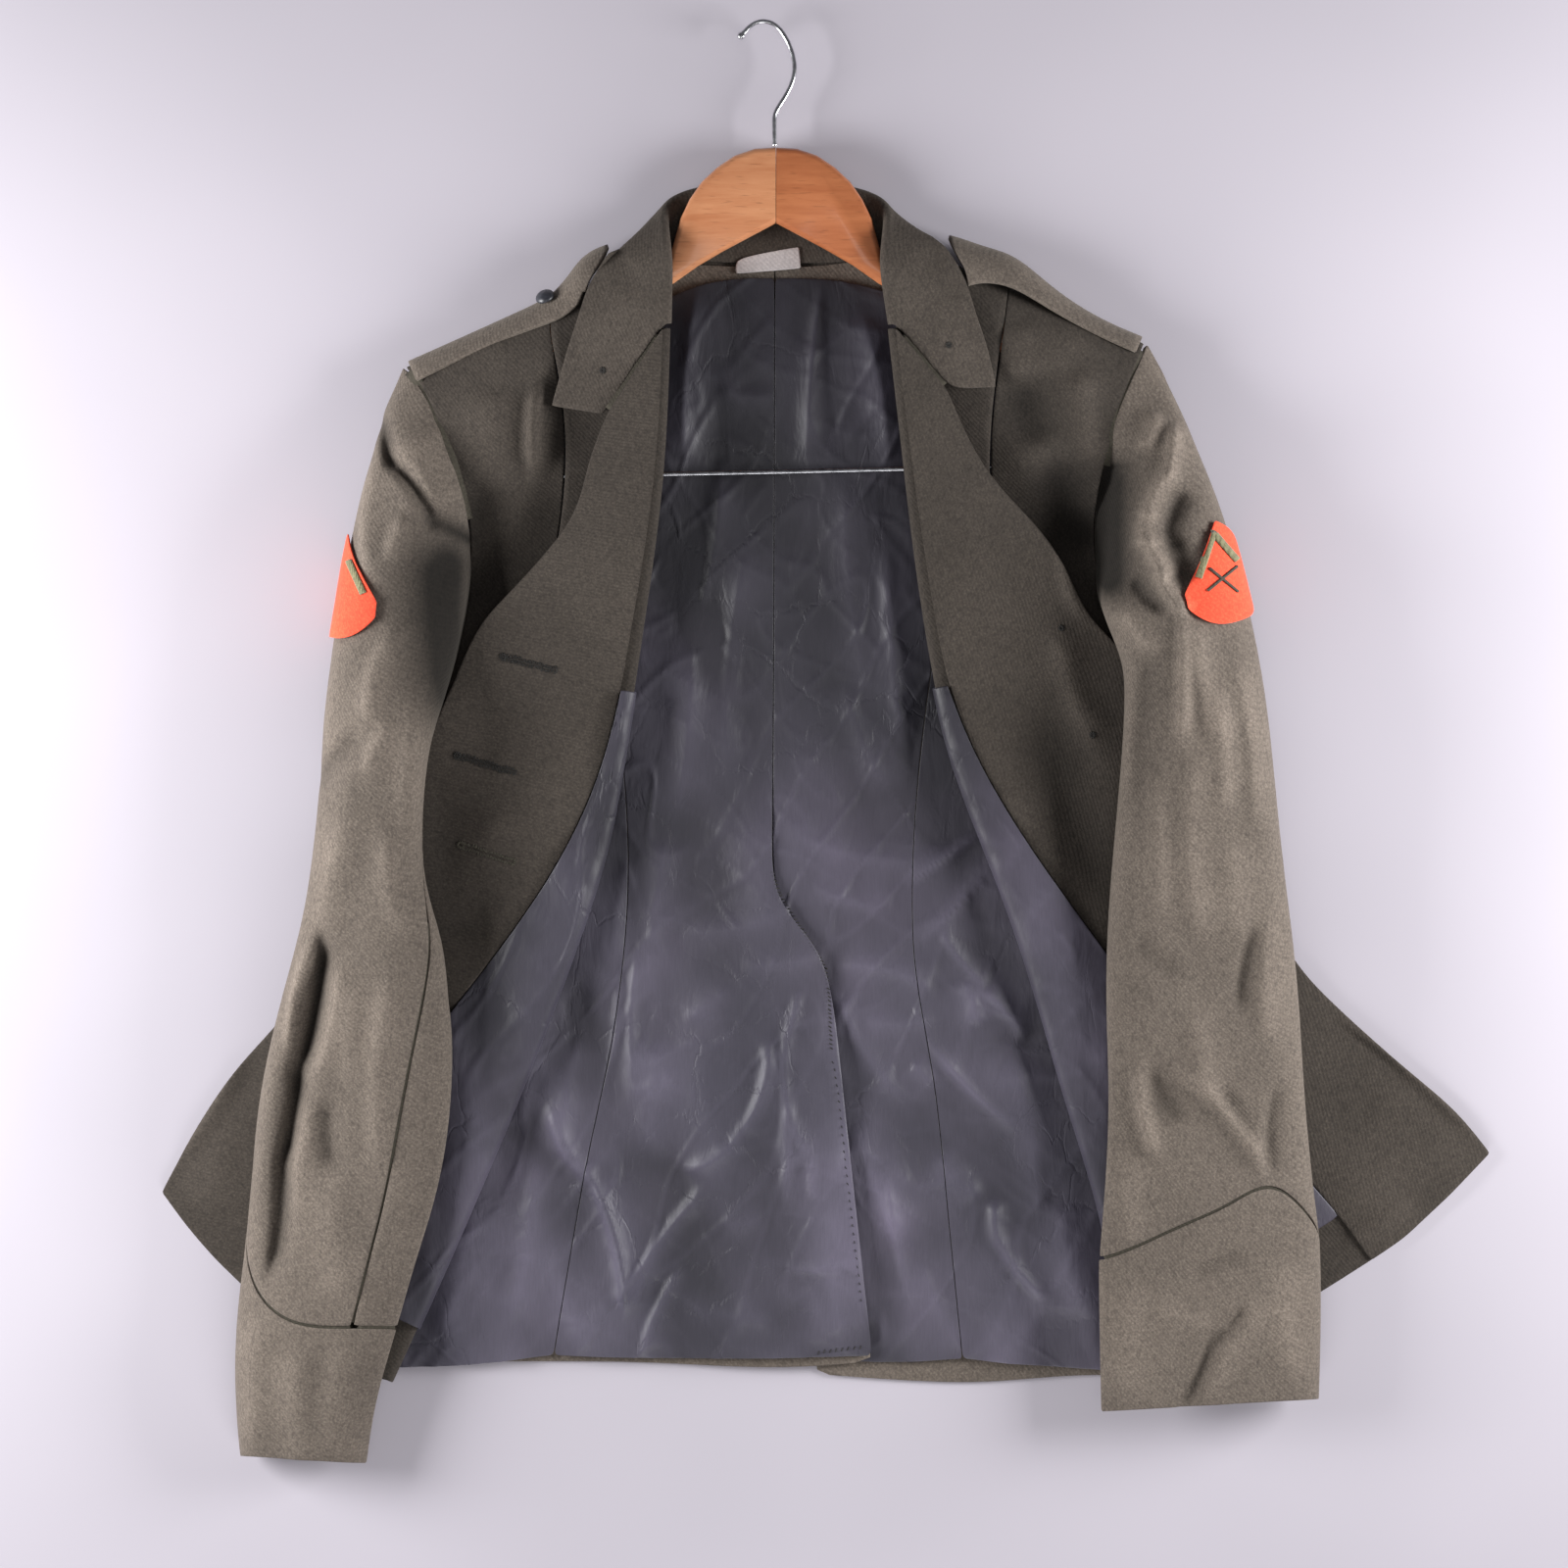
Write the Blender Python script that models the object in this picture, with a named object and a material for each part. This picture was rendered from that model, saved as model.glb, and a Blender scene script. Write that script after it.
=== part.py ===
"""Service jacket lying open and face up on its wooden hanger.

The jacket rests on its back. Each front is turned outwards along a slanting roll line, so that its facing
and its lining look up and its hem corner lies out past the sleeve. The sleeves lie on the turned fronts.
Plans are in millimetres, +X to the right and +Y towards the hook, as seen from EYE_HEIGHT straight above
the plan's zero point. Heights are in millimetres above the surface that the jacket lies on.
"""

import math
from collections import namedtuple

import bmesh
import bpy
from mathutils import Vector

MM = 0.001
EYE_HEIGHT = 1600.0
PLAN_SHIFT = (-23.485, -23.16)

# Cloth and seams
WOOL = 1.6
LINING = 1.0
GAP = 0.3
SEAM = 0.25

# Shoulder: the seam runs along the outermost line, half way up the rounded edge
SHOULDER_EDGE_HEIGHT = 12.0
SHOULDER_ROUND = 12.0
SHOULDER_SLOPE = {"left": 0.44, "right": -0.42}
SHOULDER_NECK = {"left": (-74.0, 293.8), "right": (66.0, 303.5)}
SHOULDER_SEAM = 0.9
NECK_LIFT = 2.5

# Hanger
WOOD_LOW = 8.0
WOOD_THICK = 13.0
WOOD_EDGE_ROUND = 3.0
HANGER_X = -4.5
HOOK_WIRE = 3.0
HOOK_BALL = 5.0
BAR_WIRE = 3.0
BAR_HEIGHT = 13.0


# Curves, patches and walls.


def lerp(a, b, t):
    return a + (b - a) * t


def smooth(t):
    t = min(max(t, 0.0), 1.0)
    return t * t * (3 - 2 * t)


class Line:
    """A line through points, smooth or with straight stretches, read by its share of length from 0 to 1."""

    STEPS = 10

    def __init__(self, points, straight=False):
        points = [Vector(p) for p in points]
        fine = points if straight else self._smooth(points)
        self.points = fine
        self.at = [0.0]
        for a, b in zip(fine, fine[1:]):
            self.at.append(self.at[-1] + (b - a).length)
        self.length = self.at[-1]

    def _smooth(self, points):
        ends = [points[0] * 2 - points[1], *points, points[-1] * 2 - points[-2]]
        fine = [points[0]]
        for p0, p1, p2, p3 in zip(ends, ends[1:], ends[2:], ends[3:]):
            for k in range(1, self.STEPS + 1):
                t = k / self.STEPS
                bend = (2 * p0 - 5 * p1 + 4 * p2 - p3) * t * t + (3 * p1 - p0 - 3 * p2 + p3) * t**3
                fine.append((2 * p1 + (p2 - p0) * t + bend) / 2)
        return fine

    def __call__(self, share):
        want = min(max(share, 0.0), 1.0) * self.length
        k = 1
        while k < len(self.at) - 1 and self.at[k] < want:
            k += 1
        span = self.at[k] - self.at[k - 1]
        return lerp(self.points[k - 1], self.points[k], (want - self.at[k - 1]) / span if span else 0.0)

    def across(self, share):
        """The level unit direction to the right of the line's run."""
        step = self(min(share + 0.01, 1)) - self(max(share - 0.01, 0))
        return Vector((step.y, -step.x, 0)).normalized()


def patch(left, right, bottom, top, s, t):
    """The point at share s across and t up, blended from four border lines."""
    sides = lerp(left(t), right(t), s)
    ends = lerp(bottom(s), top(s), t)
    corners = lerp(lerp(bottom(0), bottom(1), s), lerp(top(0), top(1), s), t)
    return sides + ends - corners


def shares(count, start=0.0, end=1.0):
    return [lerp(start, end, k / (count - 1)) for k in range(count)]


Fold = namedtuple("Fold", "x0 y0 x1 y1 half_width height")


def fold_height(folds, x, y):
    """How far the folds near this plan point lift the cloth, or press it down."""
    total = 0.0
    for f in folds:
        along = Vector((f.x1 - f.x0, f.y1 - f.y0))
        to = Vector((x - f.x0, y - f.y0))
        run = min(max(to.dot(along) / along.length_squared, 0.0), 1.0)
        away = (to - along * run).length / f.half_width
        if away < 1:
            total += f.height * (1 - away * away) ** 2 * (0.35 + 0.65 * math.sin(math.pi * run))
    return total


def seen(p):
    """The real place of a point whose plan is as seen from above."""
    nearer = 1 - p.z / EYE_HEIGHT
    return Vector((p.x * nearer, p.y * nearer, p.z)) * MM


def moved_out(grid, distance, around=False):
    """The grid's points moved along its surface's normals."""
    rows, columns = len(grid), len(grid[0])
    out = []
    for i in range(rows):
        line = []
        for j in range(columns):
            before, after = (j - 1, (j + 1) % columns) if around else (max(j - 1, 0), min(j + 1, columns - 1))
            across = grid[i][after] - grid[i][before]
            up = grid[min(i + 1, rows - 1)][j] - grid[max(i - 1, 0)][j]
            line.append(grid[i][j] + across.cross(up).normalized() * distance)
        out.append(line)
    return out


def wall(name, grid, thickness, material, around=False, leave_out=None):
    """A cloth wall on a grid of middle points. Around joins each row's ends into a tube."""
    bm = bmesh.new()
    verts = [[bm.verts.new(seen(p)) for p in row] for row in grid]
    for i in range(len(grid) - 1):
        for j in range(len(grid[0]) - (0 if around else 1)):
            k = (j + 1) % len(grid[0])
            if leave_out is None or not leave_out(i, j):
                bm.faces.new((verts[i][j], verts[i][k], verts[i + 1][k], verts[i + 1][j]))
    bmesh.ops.delete(bm, geom=[v for v in bm.verts if not v.link_faces], context="VERTS")
    obj = finish(name, bm, material)
    solid = obj.modifiers.new("cloth", "SOLIDIFY")
    solid.thickness = thickness * MM
    solid.offset = 0
    solid.use_even_offset = True
    solid.thickness_clamp = 0
    return obj


def finish(name, bm, material):
    mesh = bpy.data.meshes.new(name)
    bm.to_mesh(mesh)
    bm.free()
    mesh.shade_smooth()
    mesh.set_sharp_from_angle(angle=math.radians(50))
    obj = bpy.data.objects.new(name, mesh)
    obj.data.materials.append(material)
    bpy.context.scene.collection.objects.link(obj)
    obj.parent = bpy.data.objects["jacket"]
    return obj


def make_material(name, colour, roughness, metallic=0.0):
    material = bpy.data.materials.new(name)
    material.use_nodes = True
    shader = material.node_tree.nodes["Principled BSDF"]
    shader.inputs["Base Color"].default_value = (*colour, 1)
    shader.inputs["Roughness"].default_value = roughness
    shader.inputs["Metallic"].default_value = metallic
    return material


# Shoulder.


def below_shoulder(side, x, y):
    """How far a plan point lies inside the shoulder line."""
    neck_x, neck_y = SHOULDER_NECK[side]
    slope = SHOULDER_SLOPE[side]
    return (neck_y + slope * (x - neck_x) - y) / math.hypot(1, slope)


def edge_round(side, x, y):
    """0 at the shoulder's outermost line and 1 where its rounding ends."""
    share = min(max(below_shoulder(side, x, y) / SHOULDER_ROUND, 0.0), 1.0)
    return math.sqrt(1 - (1 - share) ** 2)


def front_height(side, p):
    """The point lowered to the shoulder seam along the rounded edge."""
    seam = SHOULDER_EDGE_HEIGHT + SHOULDER_SEAM / 2
    p.z = lerp(seam, max(p.z, seam), edge_round(side, p.x, p.y)) if p.z > seam else p.z
    return p


# Tables: plan and height of the body's border lines.

# x, y, z from the hem corner up to the underarm
SIDE_LINE = {
    "left": ((-258, -331, 3.0), (-253, -240, 3.0), (-246, -150, 3.0), (-236, -70, 3.0), (-222, 0, 3.0),
             (-207, 35, 3.0), (-190, 70, 3.3), (-180, 100, 4), (-173, 132, 6)),
    "right": ((254, -338, 3.0), (250, -240, 3.0), (244, -150, 3.0), (236, -70, 3.0), (222, 0, 3.0),
              (207, 35, 3.0), (190, 70, 3.3), (179, 100, 4), (171, 130, 6)),
}
# x, y, z from the underarm up to the shoulder's tip
ARMHOLE = {
    "left": ((-173, 132, 6), (-175, 145, 16), (-180, 165, 23), (-191, 198, 26), (-204, 225, 25),
             (-211.5, 233.3, 25)),
    "right": ((171, 130, 6), (173, 145, 16), (177, 170, 23), (185, 205, 26), (196, 232, 25),
              (201.5, 246.5, 25)),
}
# x, y, z from the hem up to the shoulder seam
PRINCESS_SEAM = {
    "left": ((-240, -332, 5), (-212, -200, 7.5), (-188, -100, 8), (-160, 0, 8.5), (-140, 80, 10),
             (-126, 140, 13), (-122, 190, 18), (-126, 228, 23), (-131, 250, 25), (-131, 268.7, 25.5)),
    "right": ((228, -338, 5), (203, -200, 7.5), (180, -100, 8), (154, 0, 8.5), (132, 80, 10),
              (118, 140, 13), (115, 180, 17), (118, 222, 23), (123, 253, 25), (126, 278.3, 25.5)),
}
# x, y, z of the under layer from the hem up to the gorge, the roll's bend standing just inside it
ROLL_LINE = {
    "left": ((-224, -334, 4.5), (-195, -270, 5.5), (-164, -198, 6.5), (-134, -123, 7), (-107, -46, 7.5),
             (-94, 20, 8.5), (-85, 78, 10.5), (-76, 140, 14), (-71, 190, 18.5), (-68.5, 256, 24)),
    "right": ((200, -336, 4.5), (183, -240, 5.5), (164, -178, 6.5), (139, -92, 7), (116, -30, 7.5),
              (97, 20, 8.5), (84.5, 83, 10.5), (77.5, 130, 13), (70.5, 190, 18.5), (63, 256, 24)),
}
# x, y, z from the gorge up to the shoulder seam
NECK_LINE = {
    "left": ((-68.5, 256, 24), (-71, 275, 24.5), (-74, 293.8, 25)),
    "right": ((63, 256, 24), (64, 278, 24.5), (66, 303.5, 25)),
}
# x, y, z of the turned front's free edge from its hem corner up to the notch
FREE_EDGE = {
    "left": ((-349, -229, 0.9), (-328, -190, 0.9), (-305, -157, 0.9), (-282, -133, 3.5), (-262, -105, 9.5),
             (-240, -60, 12), (-215, -6, 12.5), (-192, 41, 14.5), (-177, 77, 17.5), (-168, 96, 20),
             (-146, 115, 22.5), (-116, 152, 26), (-108, 169, 27.5), (-110.5, 180, 29), (-101, 205, 30.5)),
    "right": ((396, -207, 0.9), (377, -183, 0.9), (345, -157, 0.9), (311, -126, 2.5), (288, -103, 7),
              (265, -60, 11.5), (240, -12, 12.5), (215, 36, 13.5), (193, 73, 15.5), (171, 90, 18.5),
              (163, 111, 21), (150, 137, 23.5), (116, 171, 27), (104, 191, 29), (92.4, 220, 31)),
}
# x, y, z of the turned front's hem from the roll out to the corner
TURNED_HEM = {
    "left": ((-224, -334, 12.5), (-240, -326, 12), (-262, -313, 9), (-285, -297, 4), (-304, -281, 1.2),
             (-328, -257, 0.9), (-349, -229, 0.9)),
    "right": ((200, -336, 12.5), (218, -329, 12), (245, -315, 10), (275, -301, 5), (304, -283, 1.5),
              (350, -253, 0.9), (396, -207, 0.9)),
}
# x, y, z of the seam between the lapel and the collar, from the roll out to the notch
GORGE = {
    "left": ((-68.5, 256, 33), (-84, 232, 32.5), (-101, 205, 30.5)),
    "right": ((63, 256, 33), (78, 238, 32.5), (92.4, 220, 31)),
}
# share up the front, share out from the roll, of the seam between facing and lining: below zero is the bend
FACING_SEAM = {
    "left": ((0.0, 0.52), (0.16, 0.50), (0.30, 0.42), (0.42, 0.26), (0.52, 0.13), (0.61, 0.05),
             (0.667, 0.03),
             (1.0, 0.0)),
    "right": ((0.0, 0.62), (0.16, 0.56), (0.30, 0.42), (0.42, 0.25), (0.52, 0.13), (0.61, 0.06),
              (0.667, 0.03),
              (1.0, 0.0)),
}
BACK_HEM = {
    "left": ((-258, -331), (-212, -325), (-88, -324), (-5, -328), (49.5, -324)),
    "right": ((18, -331), (60, -334), (110, -336), (179, -331), (254, -338)),
}
# The centre seam, with the vent below it: the left back laps over the right
CENTRE_LEFT = ((49.5, -324), (36, -200), (25, -93.5), (-7, -69), (-6, 100), (-5.5, 289.5))
CENTRE_RIGHT = ((18, -331), (16, -200), (10, -110), (-6.3, -69), (-5.3, 100), (-4.8, 289.5))
VENT_TOP = -42.0
VENT_LIFT = 3.7
NECK_BACK = {"left": (-5.5, 289.5), "right": (-4.8, 289.5)}
# Back lining: its own princess seams, from the hem up to the shoulder
LINING_SEAM = {
    "left": ((-129, -320), (-110, -208), (-95, -138), (-87, -40), (-100, 100), (-126, 248)),
    "right": ((100, -322), (91, -232), (84, -162), (72, -92), (78, 30), (114, 260)),
}
BEND_RADIUS = 4.5
SIGN = {"left": -1.0, "right": 1.0}

# x0, y0, x1, y1, half width, height of the large soft folds
BACK_FOLDS = (
    Fold(-141, -170, -93, -270, 13, 4.5), Fold(-93, -270, -62, -232, 14, 4.0),
    Fold(-62, -232, -38, -150, 16, 3.0), Fold(-112, -60, -120, -150, 14, 3.5),
    Fold(-60, 250, -72, 150, 13, 3.5), Fold(-40, 120, -55, 20, 16, 2.5),
    Fold(22, 110, 30, 20, 15, 2.5), Fold(36, 260, 44, 170, 12, 3.0),
    Fold(60, -110, 112, -160, 14, 3.5), Fold(60, -60, 106, 0, 12, 3.0),
    Fold(110, -230, 140, -280, 14, 3.5), Fold(-30, -20, 30, -60, 14, 2.5),
    Fold(66, -190, 74, -290, 15, 3.0), Fold(-30, -230, -20, -300, 14, 2.5),
)
FRONT_FOLDS = {
    "left": (Fold(-150, 240, -152, 160, 15, 3.0), Fold(-120, 60, -140, 10, 18, 1.5),
             Fold(-320, -190, -300, -230, 18, 1.5), Fold(-86, 230, -110, 190, 9, 2.0)),
    "right": (Fold(146, 245, 150, 170, 15, 3.0), Fold(120, 70, 150, 20, 18, 1.5),
              Fold(330, -170, 345, -215, 22, 2.0), Fold(150, 40, 170, 0, 16, -1.5)),
}


# Body.


def back_border(side):
    """Border lines of half a back: side and armhole, centre, hem, and shoulder with neck."""
    level = [(x, y, 0) for x, y, _ in SIDE_LINE[side]]
    level += [(x, y, 0) for x, y, _ in ARMHOLE[side][1:]]
    centre = CENTRE_LEFT if side == "left" else CENTRE_RIGHT
    neck_x, neck_y = SHOULDER_NECK[side]
    tip_x = ARMHOLE[side][-1][0]
    tip_y = neck_y + SHOULDER_SLOPE[side] * (tip_x - neck_x)
    level[-1] = (tip_x, tip_y, 0)
    top = [(tip_x, tip_y, 0), (lerp(tip_x, neck_x, 0.5), lerp(tip_y, neck_y, 0.5), 0), (neck_x, neck_y, 0),
           (lerp(neck_x, NECK_BACK[side][0], 0.35), 291, 0), (*NECK_BACK[side], 0)]
    return (Line(level), Line([(x, y, 0) for x, y in centre], straight=True),
            Line([(x, y, 0) for x, y in (BACK_HEM[side] if side == "left" else BACK_HEM[side][::-1])]),
            Line(top, straight=True))


def back_lift(side, x, y):
    """The back's rise over the collar's leaf and, on the left, where it laps over the right at the vent."""
    neck = NECK_LIFT * smooth((105 - abs(x - HANGER_X)) / 30) * smooth((y - 246) / 16)
    vent = VENT_LIFT * smooth((x + 46) / 30) * smooth((VENT_TOP - y) / 24) if side == "left" else 0
    return neck + vent


def back_height(side, p, level):
    """The height of a back layer, curling up to the seam along the shoulder."""
    neck_x = SHOULDER_NECK[side][0]
    outside = smooth((abs(p.x - HANGER_X) - abs(neck_x - HANGER_X) + 6) / 8)
    curl = (1 - edge_round(side, p.x, p.y)) * outside
    low = level + back_lift(side, p.x, p.y)
    return low + curl * (SHOULDER_EDGE_HEIGHT - SHOULDER_SEAM / 2 - low)


UP_THE_BACK = shares(15, 0, 0.89) + [0.915, 0.935, 0.955, 0.9765, 0.9857, 0.993, 0.9979, 1.0]


def make_back(side, wool):
    outer, centre, hem, top = back_border(side)
    grid = []
    for t in UP_THE_BACK:
        row = [patch(outer, centre, hem, top, s, t) for s in shares(9)]
        grid.append([Vector((p.x, p.y, back_height(side, p, WOOL / 2))) for p in row])
    if side == "right":
        grid = [row[::-1] for row in grid]
    return wall(f"back_{side}", grid, WOOL, wool)


LINING_LEVEL = WOOL + GAP + 0.15 + LINING / 2
LINING_HEM_RISE = {"left": 3.5, "right": 8.5}
LINING_TOP_DROP = 6.0
LINING_SIDE_IN = 22.0
LINING_REACH = 16.0
SIDE_LIMIT = 215.0


def lining_point(side, x, y):
    """A point of the back lining: clear of the back all round it, with the lining's own folds on top."""
    fade = smooth((SIDE_LIMIT - abs(x)) / 30)
    fold = max(fold_height(BACK_FOLDS, x, y), 0) * fade
    steps = (-LINING_REACH, 0, LINING_REACH)
    lift = max(back_lift(side, x + dx, y + dy) for dx in steps for dy in steps)
    return Vector((x, y, LINING_LEVEL + lift + fold))


def make_back_lining(side, satin):
    """The centre and the side panel of one half, parted at the lining's own seam."""
    outer, centre, hem, _ = back_border(side)
    sign = SIGN[side]
    rise = LINING_HEM_RISE[side]
    seam_points = LINING_SEAM[side]
    outer_line = [(p.x - sign * LINING_SIDE_IN, p.y, 0) for p in map(outer, shares(9, 0, 0.77))]
    outer_line[0] = (outer_line[0][0], outer_line[0][1] + rise, 0)
    top_outer = outer_line[-1]
    seam_top = seam_points[-1]
    centre_points = [(x, y, 0) for x, y in (CENTRE_LEFT if side == "left" else CENTRE_RIGHT)]
    centre_points[0] = (centre_points[0][0], centre_points[0][1] + rise, 0)
    centre_points[-1] = (centre_points[-1][0], centre_points[-1][1] - LINING_TOP_DROP, 0)
    panels = (
        ("side", Line(outer_line), Line([(x + sign * SEAM, y, 0) for x, y in seam_points]), top_outer,
         (seam_top[0] + sign * SEAM, seam_top[1], 0), 5),
        ("back", Line([(x - sign * SEAM, y, 0) for x, y in seam_points]),
        Line(centre_points, straight=True),
         (seam_top[0] - sign * SEAM, seam_top[1], 0), centre_points[-1], 7),
    )
    for name, left, right, top_a, top_b, columns in panels:
        bottom_a, bottom_b = left(0), right(0)
        dip = Vector((0, -2.0, 0))
        bottom = Line([bottom_a, lerp(bottom_a, bottom_b, 0.5) + dip, bottom_b])
        neck = Vector((sign * 34 + HANGER_X, 283.5, 0))
        top = Line([top_a, top_b]) if name == "side" else Line([top_a, neck, top_b], straight=True)
        grid = []
        for t in shares(17):
            row = [patch(left, right, bottom, top, s, t) for s in shares(columns)]
            grid.append([lining_point(side, p.x, p.y) for p in row])
        if side == "right":
            grid = [row[::-1] for row in grid]
        wall(f"lining_{name}_{side}", grid, LINING, satin)


UP_THE_FRONT = shares(15, 0, 0.95) + [0.972, 0.9835, 0.9925, 0.9975, 1.0]


def make_side_front(side, wool):
    """From the side seam and the armhole in to the princess seam."""
    outer = Line([*SIDE_LINE[side], *ARMHOLE[side][1:]])
    seam = Line([(x + SIGN[side] * SEAM, y, z) for x, y, z in PRINCESS_SEAM[side]])
    hem = Line([outer(0), seam(0)])
    tip, end = outer(1), seam(1)
    top = Line([tip, lerp(tip, end, 0.5), end])
    grid = []
    for t in UP_THE_FRONT:
        row = []
        for s in shares(7):
            p = patch(outer, seam, hem, top, s, t)
            p.z += fold_height(FRONT_FOLDS[side], p.x, p.y) * smooth(s * 4)
            row.append(front_height(side, p))
        grid.append(row)
    if side == "right":
        grid = [row[::-1] for row in grid]
    return wall(f"side_front_{side}", grid, WOOL, wool)


def over_side(x):
    """How high a turned front stays while it passes over the side seam, before it drops to the floor."""
    return 0.9 + 5.4 * smooth((292 - abs(x)) / 26)


class TurnedFront:
    """A front's turned part: s is -1 at the bend's foot, 0 on its top and 1 at the free edge."""

    ROWS = 19
    COLUMNS = (-1.0, -0.75, -0.5, -0.25, 0.0, *(k / 7 for k in range(1, 8)))

    def __init__(self, side):
        self.side = side
        self.roll = Line(ROLL_LINE[side])
        self.inner = Line([(p.x, p.y, p.z + 2 * BEND_RADIUS) for p in map(self.roll, shares(12))])
        self.edge = Line(FREE_EDGE[side])
        self.hem = Line(TURNED_HEM[side])
        self.gorge = Line(GORGE[side])
        self.grid = [[self.point(s, t) for s in self.COLUMNS] for t in shares(self.ROWS)]
        above = moved_out(self.grid, SIGN[side])
        self.normals = [[b - a for a, b in zip(low, high)] for low, high in zip(self.grid, above)]

    def point(self, s, t):
        if s < 0:
            turn = math.radians(90 + 180 * s)
            centre = self.roll(t) + Vector((0, 0, BEND_RADIUS))
            inward = self.roll.across(t) * -SIGN[self.side]
            return centre + (inward * math.cos(turn) + Vector((0, 0, math.sin(turn)))) * BEND_RADIUS
        p = patch(self.inner, self.edge, self.hem, self.gorge, s, t)
        p.z += fold_height(FRONT_FOLDS[self.side], p.x, p.y) * smooth(s * 5) * smooth((p.z - 0.9) / 1.5)
        p.z = max(p.z, over_side(p.x))
        return p

    def raised(self, row, s, distance):
        """A point on the row's own line, moved out from the turned front's upper face."""
        k = 0
        while k < len(self.COLUMNS) - 2 and self.COLUMNS[k + 1] < s:
            k += 1
        f = (s - self.COLUMNS[k]) / (self.COLUMNS[k + 1] - self.COLUMNS[k])
        normal = lerp(self.normals[row][k], self.normals[row][k + 1], f).normalized()
        here = lerp(self.grid[row][k], self.grid[row][k + 1], f)
        clear = 0.8 * smooth(1 - abs(abs(here.x) - 279) / 26)
        return here + normal * (distance * (1.12 if s < 0 else 1) + clear)

    def width(self, row):
        return sum((b - a).length for a, b in zip(self.grid[row][4:], self.grid[row][5:]))


NECK_SHARES = (0.35, 0.62, 0.8, 0.92, 0.98, 1.0)


def make_front(side, turned, wool):
    """Princess seam to roll, round the bend, and out to the free edge, all in one piece."""
    seam = Line([(x - SIGN[side] * SEAM, y, z) for x, y, z in PRINCESS_SEAM[side]])
    neck = Line(NECK_LINE[side])
    split = turned.roll.length / (turned.roll.length + neck.length)
    whole = [t * split for t in shares(turned.ROWS)] + [lerp(split, 1, t) for t in NECK_SHARES]
    hem = Line([seam(0), turned.roll(0)])
    top = Line([seam(1), neck(1)])

    def inner(t):
        return turned.roll(t / split) if t <= split else neck((t - split) / (1 - split))

    grid = []
    for k, t in enumerate(whole):
        row = []
        for s in shares(5):
            p = patch(seam, inner, hem, top, s, t)
            p.z += fold_height(FRONT_FOLDS[side], p.x, p.y) * smooth(s * 4) * smooth((1 - s) * 4)
            row.append(front_height(side, p))
        last = turned.grid[min(k, turned.ROWS - 1)]
        aside = Vector((0, 0.01 * max(k - turned.ROWS + 1, 0), 0))
        grid.append(row + [p + aside for p in last[1:]])
    top_row = turned.ROWS - 1
    if side == "right":
        grid = [row[::-1] for row in grid]
        return wall(f"front_{side}", grid, WOOL, wool, leave_out=lambda i, j: i >= top_row and j < 11)
    return wall(f"front_{side}", grid, WOOL, wool, leave_out=lambda i, j: i >= top_row and j >= 4)


def facing_seam(side, t):
    rows = FACING_SEAM[side]
    for (t0, s0), (t1, s1) in zip(rows, rows[1:]):
        if t <= t1:
            return lerp(s0, s1, (t - t0) / (t1 - t0))
    return rows[-1][1]


FACING = 1.4
BEND_LENGTH = math.pi * BEND_RADIUS


def make_facing(side, turned, wool, satin):
    """The facing along the free edge, or the front lining next to it, on the turned front."""
    on_top = WOOL / 2 + GAP + 0.05
    facing = []
    lining = []
    for k, t in enumerate(shares(turned.ROWS)):
        inner = facing_seam(side, t)
        facing.append([turned.raised(k, s, on_top + FACING / 2) for s in shares(9, inner, 1)])
        if t > 0.02 and inner > 0.029:
            apart = 0.5 / turned.width(k)
            shares_out = [-0.75, -0.5, -0.25] + [lerp(0, inner - apart, c / 4) for c in range(5)]
            lining.append([turned.raised(k, s, on_top + 0.2 + LINING / 2) for s in shares_out])
    if side == "right":
        facing = [row[::-1] for row in facing]
        lining = [row[::-1] for row in lining]
    wall(f"facing_{side}", facing, FACING, wool)
    wall(f"front_lining_{side}", lining, LINING, satin)


# Sleeves.

Section = namedtuple(
    "Section", "outer_x outer_y outer_z inner_x inner_y inner_z low_out low_in high front_seam back_seam"
)
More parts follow.
